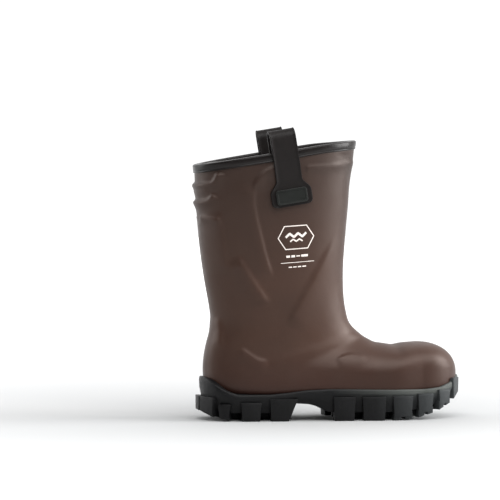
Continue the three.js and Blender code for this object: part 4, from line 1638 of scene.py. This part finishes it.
@dataclass
class PullLoop:
    """A pull loop, with the plate and stud that hold it and the retainer inside the wall.

    Its own axes start at the stud on the upper's face: x' along the strap's width, y' outwards, z' up.

    Attributes:
        side: the side of the foot.
        last: the form, for the rim's tilt.
        drop: from the rim down to the stud.
        width, thickness: the strap's.
        tab_width, tab_height: the wide tab's.
        tab_rise: how much less the tab reaches down than its half height.
        tab_corner, end_corner: corner radii of the tab's foot and of the strap's inner end.
        tab_out, rim_out, tail_out: how far out the strap's middle lies at the tab, the rim and its inner end.
        arch: height of the arch's centre, and its radius.
        tail: how far the inner end reaches below the stud.
        anchor, retainer: width, height and thickness of the plates outside and inside the wall.
        anchor_rim: width of the rim round the outer plate's sunk middle.
        stud: the stud's radius.
    """

    side: Side
    last: Last
    drop: float = 50
    width: float = 31
    thickness: float = 2.4
    tab_width: float = 49
    tab_height: float = 28
    tab_rise: float = 2.5
    tab_corner: float = 6
    end_corner: float = 4
    tab_out: float = 2.4
    rim_out: float = 6.04
    tail_out: float = -10.7
    arch: tuple[float, float] = (69.4, 8.4)
    tail: float = 13
    anchor: tuple[float, float, float] = (37, 17.4, 2)
    anchor_rim: float = 1.9
    retainer: tuple[float, float, float] = (26, 16, 1.6)
    stud: float = 3

    @property
    def body(self) -> str:
        """The frame's body that the strap moves with."""
        return f"{self.side.word}_loop"

    @property
    def axes(self) -> Matrix:
        """The loop's own axes in the frame, from its joint: its place, its axis and the rim's tilt."""
        joint = next(j for j in frame["joints"] if j["child"] == self.body)
        outward = (Vector(joint["axis"]) * self.side.value).normalized()
        tilt, rise = self.last.rim_square[0], self.last.rim_square[2]
        up = Vector((tilt * abs(outward.y), -tilt * outward.x * self.side.value, rise))
        up = (up - up.project(outward)).normalized()
        wide = outward.cross(up)
        axes = Matrix((wide, outward, up)).transposed().to_4x4()
        axes.translation = Vector(joint["pos_m"])
        return axes

    def path(self) -> np.ndarray:
        """The strap's middle line as evenly spaced y', z' points, from the tab's foot to the inner end."""
        height, radius = self.arch
        inner = self.rim_out - 2 * radius
        under_rim = self.drop - 7
        line = [
            (self.tab_out, self.tab_rise - self.tab_height / 2), (self.tab_out, self.tab_height / 2),
            (self.rim_out, under_rim), (self.rim_out, height),
        ]
        for degrees in range(6, 180, 6):
            turn = math.radians(degrees)
            line.append((self.rim_out - radius + radius * math.cos(turn), height + radius * math.sin(turn)))
        line += [(inner, height), (inner, under_rim), (self.tail_out, self.tail), (self.tail_out, -self.tail)]
        points = np.array(line)
        run = np.concatenate([[0], np.cumsum(np.hypot(*np.diff(points, axis=0).T))])
        want = np.linspace(0, run[-1], 180)
        even = np.stack([np.interp(want, run, points[:, n]) for n in range(2)], axis=1)
        for _ in range(6):
            even[1:-1] = (even[:-2] + 2 * even[1:-1] + even[2:]) / 4
        return even

    def half_width(self, run: np.ndarray, total: float) -> np.ndarray:
        """Half of the strap's width along its middle line: wide at the tab, and rounded at both ends.

        Args:
            run: places along the middle line.
            total: its length.

        Returns:
            The half width at each place.
        """
        leg, tab = self.width / 2, self.tab_width / 2
        up = run - self.tab_height / 2 + self.tab_rise
        half = tab + (leg - tab) * smoothstep(up, 5, 20)
        for left, corner in ((run, self.tab_corner), (total - run, self.end_corner)):
            low = np.clip(corner - left, 0, corner)
            half = half - corner + np.sqrt(np.maximum(corner**2 - low**2, 0))
        return half

    def strap(self) -> bmesh.types.BMesh:
        """The strap: a band with beaded edges, swept along its middle line."""
        line = self.path()
        run = np.concatenate([[0], np.cumsum(np.hypot(*np.diff(line, axis=0).T))])
        half = self.half_width(run, run[-1])
        tangent = unit(np.gradient(line, axis=0))
        outer = np.stack([tangent[:, 1], -tangent[:, 0]], axis=1)
        t = self.thickness / 2
        bead = [(-1.0, 0.0), (-1.0, 0.62 * t), (-0.985, t + 0.18)]
        bead += [(-0.95, t + 0.28), (-0.905, t + 0.16), (-0.88, t - 0.08)]
        section = bead + [(share, t - 0.1) for share in np.linspace(-0.7, 0.7, 9)]
        section += [(-share, out) for share, out in bead[::-1]]
        section += [(1.0, -0.62 * t), (0.985, -t)] + [(share, -t) for share in np.linspace(0.9, -0.9, 9)]
        section += [(-0.985, -t), (-1.0, -0.62 * t), bead[0]]
        rows = [np.tile([0.0, line[0, 0], line[0, 1]], (len(section), 1))]
        for (y, z), way, wide in zip(line, outer, half):
            ring = [(share * wide, y + way[0] * out, z + way[1] * out) for share, out in section]
            rows.append(np.array(ring))
        rows.append(np.tile([0.0, line[-1, 0], line[-1, 1]], (len(section), 1)))
        mesh = wrapped_grid(np.stack(rows) / 1000)
        bmesh.ops.transform(mesh, matrix=self.axes, verts=mesh.verts)
        bmesh.ops.recalc_face_normals(mesh, faces=mesh.faces)
        return mesh

    def plate(
        self, size: tuple[float, float, float], out: float, corner: float, inset: float
    ) -> bmesh.types.BMesh:
        """A rounded plate with a sunk middle.

        Args:
            size: its width, height and thickness.
            out: how far out its inner face lies.
            corner: its corners' radius.
            inset: width of the rim round its sunk middle, or nothing.

        Returns:
            The plate in the frame.
        """
        mesh = bmesh.new()
        bmesh.ops.create_cube(mesh, size=1)
        bmesh.ops.scale(mesh, vec=(size[0] / 1000, size[2] / 1000, size[1] / 1000), verts=mesh.verts)
        bmesh.ops.translate(mesh, vec=(0, (out + size[2] / 2) / 1000, 0), verts=mesh.verts)
        upright = [e for e in mesh.edges if abs(e.verts[0].co.y - e.verts[1].co.y) > 1e-6]
        ease(mesh, upright, corner, 6)
        ease(mesh, [e for e in mesh.edges if e.calc_face_angle(0) > 1.2], 0.45, 3)
        if inset:
            face = max(mesh.faces, key=lambda f: f.calc_center_median().y * 1000 + f.calc_area() * 1e5)
            for thickness, depth in ((inset, 0), (0.35, -0.5)):
                bmesh.ops.inset_region(
                    mesh, faces=[face], thickness=thickness / 1000, depth=depth / 1000, use_even_offset=True
                )
        bmesh.ops.transform(mesh, matrix=self.axes, verts=mesh.verts)
        bmesh.ops.recalc_face_normals(mesh, faces=mesh.faces)
        return mesh

    def pin(self, start: float, end: float) -> bmesh.types.BMesh:
        """The stud, a round pin along y' with eased ends.

        Args:
            start, end: its ends.

        Returns:
            The stud in the frame.
        """
        radius = self.stud / 1000
        mesh = bmesh.new()
        bmesh.ops.create_cone(
            mesh, cap_ends=True, segments=32, radius1=radius, radius2=radius, depth=(end - start) / 1000
        )
        bmesh.ops.rotate(mesh, matrix=Matrix.Rotation(math.pi / 2, 3, "X"), verts=mesh.verts)
        bmesh.ops.translate(mesh, vec=(0, (start + end) / 2000, 0), verts=mesh.verts)
        rims = [e for e in mesh.edges if abs(e.calc_face_angle(0) - math.pi / 2) < 0.1]
        ease(mesh, rims, 0.4, 3)
        bmesh.ops.transform(mesh, matrix=self.axes, verts=mesh.verts)
        bmesh.ops.recalc_face_normals(mesh, faces=mesh.faces)
        return mesh

    def build(
        self, strap: bpy.types.Material, anchor: bpy.types.Material, steel: bpy.types.Material
    ) -> list[bpy.types.Object]:
        """Builds the strap and its fixings.

        Args:
            strap: the strap's material.
            anchor: the plate's.
            steel: the retainer's.

        Returns:
            The pieces.
        """
        word = self.side.word
        anchor_out = self.tab_out + self.thickness / 2 + GAP
        retainer_out = self.tail_out - self.thickness / 2 - GAP
        end = retainer_out - self.retainer[2]
        plate = self.plate(self.anchor, anchor_out, 3.2, self.anchor_rim)
        outside = gather([plate, self.pin(end, anchor_out + self.anchor[2] / 2)])
        inside = self.plate(self.retainer, end, 3, 0)
        parts = (
            ("pull_strap", self.strap(), strap, self.body, "loop", "pull_loop", 45),
            ("strap_anchor", outside, anchor, "boot", "anchor", "loop_anchor", 30),
            ("strap_retainer", inside, steel, "boot", "steel", "loop_retainer", 30),
        )
        return [
            finished_piece(
                f"{name}_{word}", mesh, finish, body, stands_for=(f"{node}_{word}",), sharp=sharp
            )
            for name, mesh, finish, body, slot, node, sharp in parts
        ]


# ------------------------------------------------------------------ the printed mark


@dataclass
class PrintedMark:
    """A plain printed mark on the outer side of the shaft: a hexagon with a zigzag, and bars under it.

    Attributes:
        upper: the upper it is printed on.
        middle: the hexagon's middle, in x and z.
        size: the hexagon's half width and half height.
        outline: width of its line.
        zigzags: height, reach, line width and number of strokes of each zigzag in it.
        bars: start, end, height and width of each bar under it.
        slope: how the mark tilts, in radians.
        thickness: of the ink.
        clear: how far its underside stands off the skin.
    """

    upper: Upper
    middle: tuple[float, float] = (110.5, 215.5)
    size: tuple[float, float] = (21.5, 13.5)
    outline: float = 1.1
    zigzags: tuple[tuple[float, float, float, int], ...] = ((2.6, 12.5, 2.6, 5), (-3.4, 7.5, 1.6, 4))
    bars: tuple[tuple[float, float, float, float], ...] = (
        (-13, -8.6, -22, 2.6), (-7, -2.6, -22, 2.6), (-1, 3.4, -22, 1.4), (5, 13, -22, 2.6),
        (-20, 20, -29.3, 0.7),
        (-11, -7, -34.6, 1.3), (-5.5, -1.5, -34.6, 1.3), (0, 4, -34.6, 1.3), (5.5, 10, -34.6, 1.3),
    )
    slope: float = 0.07
    thickness: float = 0.12
    clear: float = 0.03

    def stroke(
        self, points: Sequence[tuple[float, float]], width: float, closed: bool = False
    ) -> bmesh.types.BMesh:
        """A stroke of ink along a line, lying on the upper.

        Args:
            points: the line about the mark's middle.
            width: the stroke's width.
            closed: whether its end meets its start.

        Returns:
            The stroke.
        """
        line = np.array([*points, points[0]] if closed else points, float)
        run = np.concatenate([[0], np.cumsum(np.hypot(*np.diff(line, axis=0).T))])
        count = max(3, int(run[-1] / 1.2) + 1)
        want = np.unique(np.round(np.concatenate([np.linspace(0, run[-1], count), run]), 6))
        line = np.stack([np.interp(want, run, line[:, n]) for n in range(2)], axis=1)
        tangent = unit(np.gradient(line, axis=0))
        if closed:
            tangent[0] = tangent[-1] = unit(line[1] - line[-2])
        side = np.stack([-tangent[:, 1], tangent[:, 0]], axis=1) * width / 2
        mesh = bmesh.new()
        bmesh.ops.create_grid(mesh, x_segments=len(line) - 1, y_segments=1, size=0.5)
        for vertex in mesh.verts:
            n = round((vertex.co.x + 0.5) * (len(line) - 1))
            flat = line[n] + side[n] * (1 if vertex.co.y > 0 else -1)
            vertex.co = self.on_skin(flat)
        bmesh.ops.remove_doubles(mesh, verts=mesh.verts, dist=1e-6)
        grown = bmesh.ops.extrude_face_region(mesh, geom=mesh.faces[:])
        for vertex in grown["geom"]:
            if isinstance(vertex, bmesh.types.BMVert):
                vertex.co.y -= self.thickness / 1000
        bmesh.ops.recalc_face_normals(mesh, faces=mesh.faces)
        return mesh

    def on_skin(self, flat: np.ndarray) -> Vector:
        """A point of the mark on the upper's outer side, just clear of the skin.

        Args:
            flat: the point about the mark's middle, in millimetres.

        Returns:
            The point in the frame, in metres.
        """
        turn, lean = math.cos(self.slope), math.sin(self.slope)
        x = self.middle[0] + flat[0] * turn - flat[1] * lean
        z = self.middle[1] + flat[0] * lean + flat[1] * turn
        hit = self.upper.reach((x, -150, z), (0, 1, 0))
        return Vector(DRAWING.place(hit + np.array([0, -self.clear, 0])))

    def build(self, finish: bpy.types.Material) -> bpy.types.Object:
        """Builds the mark.

        Args:
            finish: its ink.

        Returns:
            The piece.
        """
        wide, tall = self.size
        short = wide * 0.62
        hexagon = [(wide, 0), (short, tall), (-short, tall), (-wide, 0), (-short, -tall), (short, -tall)]
        strokes = [self.stroke(hexagon, self.outline, closed=True)]
        for height, reach, width, steps in self.zigzags:
            swing = [(2.1 if n % 2 else -2.1) * width / 2.6 for n in range(steps + 1)]
            zigzag = [(reach * (2 * n / steps - 1), height + rise) for n, rise in enumerate(swing)]
            strokes.append(self.stroke(zigzag, width))
        for start, end, height, width in self.bars:
            strokes.append(self.stroke([(start, height), (end, height)], width))
        return finished_piece("shaft_mark", gather(strokes), finish, "boot", sharp=30)


# ------------------------------------------------------------------ the studio


@dataclass
class Studio:
    """Plain pale floor, soft light and the camera.

    Attributes:
        aim: what the camera looks at, in metres.
        azimuth, elevation: the camera's direction in degrees.
        distance: how far away it stands.
        lens: its focal length in millimetres.
        lights: each light's name, place, width and height, and power in watts.
        lit: the point that the lights face.
        front_edge: where the floor ends on the camera's side.
    """

    aim: tuple[float, float, float] = (-0.0905, 0.0, 0.199)
    azimuth: float = -8
    elevation: float = 2.2
    distance: float = 5.0
    lens: float = 305
    lights: tuple[tuple[str, tuple[float, ...], tuple[float, float], float], ...] = (
        ("front_window", (1.7, -0.35, 0.9), (1.2, 1.6), 60),
        ("back_window", (-1.6, 0.5, 0.8), (0.8, 1.4), 9),
        ("top_panel", (0.15, -1.4, 1.9), (2.4, 1.8), 56),
    )
    lit: tuple[float, float, float] = (0, 0, 0.15)
    front_edge: float = -2.8

    def camera(self) -> None:
        """Sets the camera up."""
        data = bpy.data.cameras.new("camera")
        data.lens = self.lens
        data.sensor_width = 36
        data.clip_end = 50
        camera = bpy.data.objects.new("camera", data)
        turn, climb = math.radians(self.azimuth), math.radians(self.elevation)
        back = Vector((math.sin(turn) * math.cos(climb), -math.cos(turn) * math.cos(climb), math.sin(climb)))
        camera.location = Vector(self.aim) + back * self.distance
        camera.rotation_euler = (-back).to_track_quat("-Z", "Y").to_euler()
        bpy.context.scene.collection.objects.link(camera)
        bpy.context.scene.camera = camera

    def area(self, name: str, place: Sequence[float], size: Sequence[float], power: float) -> None:
        """Adds a soft white light that faces the boot.

        Args:
            name: its name.
            place: where it stands, in metres.
            size: its width and height.
            power: in watts.
        """
        data = bpy.data.lights.new(name, "AREA")
        data.shape = "RECTANGLE"
        data.size, data.size_y = size
        data.energy = power
        light = bpy.data.objects.new(name, data)
        light.location = place
        facing = Vector(self.lit) - Vector(place)
        light.rotation_euler = facing.to_track_quat("-Z", "Y").to_euler()
        bpy.context.scene.collection.objects.link(light)

    def floor(self) -> None:
        """Adds the floor, which glows more the further it is from the boot, as a lit white sweep would."""
        recipe = Recipe("pale_floor")
        patches = recipe.noise(recipe.place(), 3, 2)
        recipe.set(Base_Color=recipe.blend(patches, paint(172, 174, 175), paint(176, 176, 176)))
        recipe.set(Roughness=0.8, Specular_IOR_Level=0.2)
        away = recipe.node("VectorMath", {"operation": "LENGTH"}, _0=recipe.place()).outputs["Value"]
        near, far = recipe.spread(away, 0.12, 0.9, 0.01, 0.5), recipe.spread(away, 0.9, 3.2, 0, 0.65)
        recipe.set(Emission_Color=(1, 1, 1, 1), Emission_Strength=recipe.sum(near, far))
        mesh = bmesh.new()
        bmesh.ops.create_grid(mesh, x_segments=2, y_segments=2, size=6)
        for vertex in mesh.verts:
            vertex.co.y = max(vertex.co.y, self.front_edge)
        data = bpy.data.meshes.new("floor")
        mesh.to_mesh(data)
        mesh.free()
        data.materials.append(recipe.material)
        floor = bpy.data.objects.new("floor", data)
        bpy.context.scene.collection.objects.link(floor)

    def world(self) -> None:
        """Sets the surroundings: white behind the boot and above it, darker on the camera's side."""
        world = bpy.data.worlds.new("studio")
        world.use_nodes = True
        tree = world.node_tree
        tree.nodes.clear()
        output = tree.nodes.new("ShaderNodeOutputWorld")
        light = tree.nodes.new("ShaderNodeBackground")
        light.inputs["Color"].default_value = (1, 1, 1, 1)
        way = tree.nodes.new("ShaderNodeTexCoord")
        parts = tree.nodes.new("ShaderNodeSeparateXYZ")
        ramp = tree.nodes.new("ShaderNodeMapRange")
        tree.links.new(way.outputs["Generated"], parts.inputs[0])
        tree.links.new(parts.outputs[1], ramp.inputs[0])
        for index, value in ((1, -0.35), (2, 0.5), (3, 0.05), (4, 1.1)):
            ramp.inputs[index].default_value = value
        tree.links.new(ramp.outputs[0], light.inputs["Strength"])
        tree.links.new(light.outputs[0], output.inputs["Surface"])
        bpy.context.scene.world = world

    def build(self) -> None:
        """Sets the studio up."""
        self.camera()
        self.world()
        self.floor()
        for light in self.lights:
            self.area(*light)
        bpy.context.scene.view_settings.view_transform = "Standard"


# ------------------------------------------------------------------ the boot


def dress_hidden_parts() -> None:
    """Gives the frame's own hidden parts their finishes: the cap, its strip, the plate and the board."""
    finishes = {
        "toe_cap": PressedSteel("toe_cap_steel").material(),
        "penetration_plate": PressedSteel("midsole_plate_steel", (150, 152, 155), 0.3).material(),
        "toe_cap_edge_strip": FibreSheet("cap_strip_foam", (24, 24, 25), (44, 44, 46), 900, 0.25).material(),
        "insole_board": FibreSheet(
            "insole_fibre_board", (196, 174, 136), (150, 126, 92), 500, 0.12
        ).material(),
    }
    for name, finish in finishes.items():
        node = frame["nodes"][name]
        node.data.materials.clear()
        node.data.materials.append(finish)
        log.info("%s: finished in %s", name, finish.name)


def main() -> None:
    """Builds the boot and its studio."""
    logging.basicConfig(level=logging.INFO, format="%(name)s %(message)s")
    Studio().build()
    last = Last()
    upper = Upper(last)
    upper.build(MouldedSkin().material())
    # The sole body's material carries painted sheen along its shoulder.
    Outsole(upper).build(SoleCompound().material(), SoleCompound(rubbed=True).material())
    CollarBinding(last).build(GlossTrim("binding_gloss", (14, 9, 8), 0.34, 0.12, 0.02).material())
    lining = Lining(upper)
    lining.build(KnitCloth("lining_knit", (158, 150, 138), (96, 90, 82), 260, 330).material())
    Footbed(lining).build(KnitCloth("footbed_cover", (66, 72, 78), (36, 40, 44), 420, 110).material())
    strap = GlossTrim("strap_skin", (13, 8, 7), 0.5, 0.0, 0.03).material()
    anchor = GlossTrim("anchor_plate_skin", (23, 25, 23), 0.38, 0.12, 0.03).material()
    steel = PressedSteel("retainer_steel").material()
    for side in Side:
        PullLoop(side, last).build(strap, anchor, steel)
    PrintedMark(upper).build(PrintInk().material())
    dress_hidden_parts()


if __name__ == "__main__":
    main()
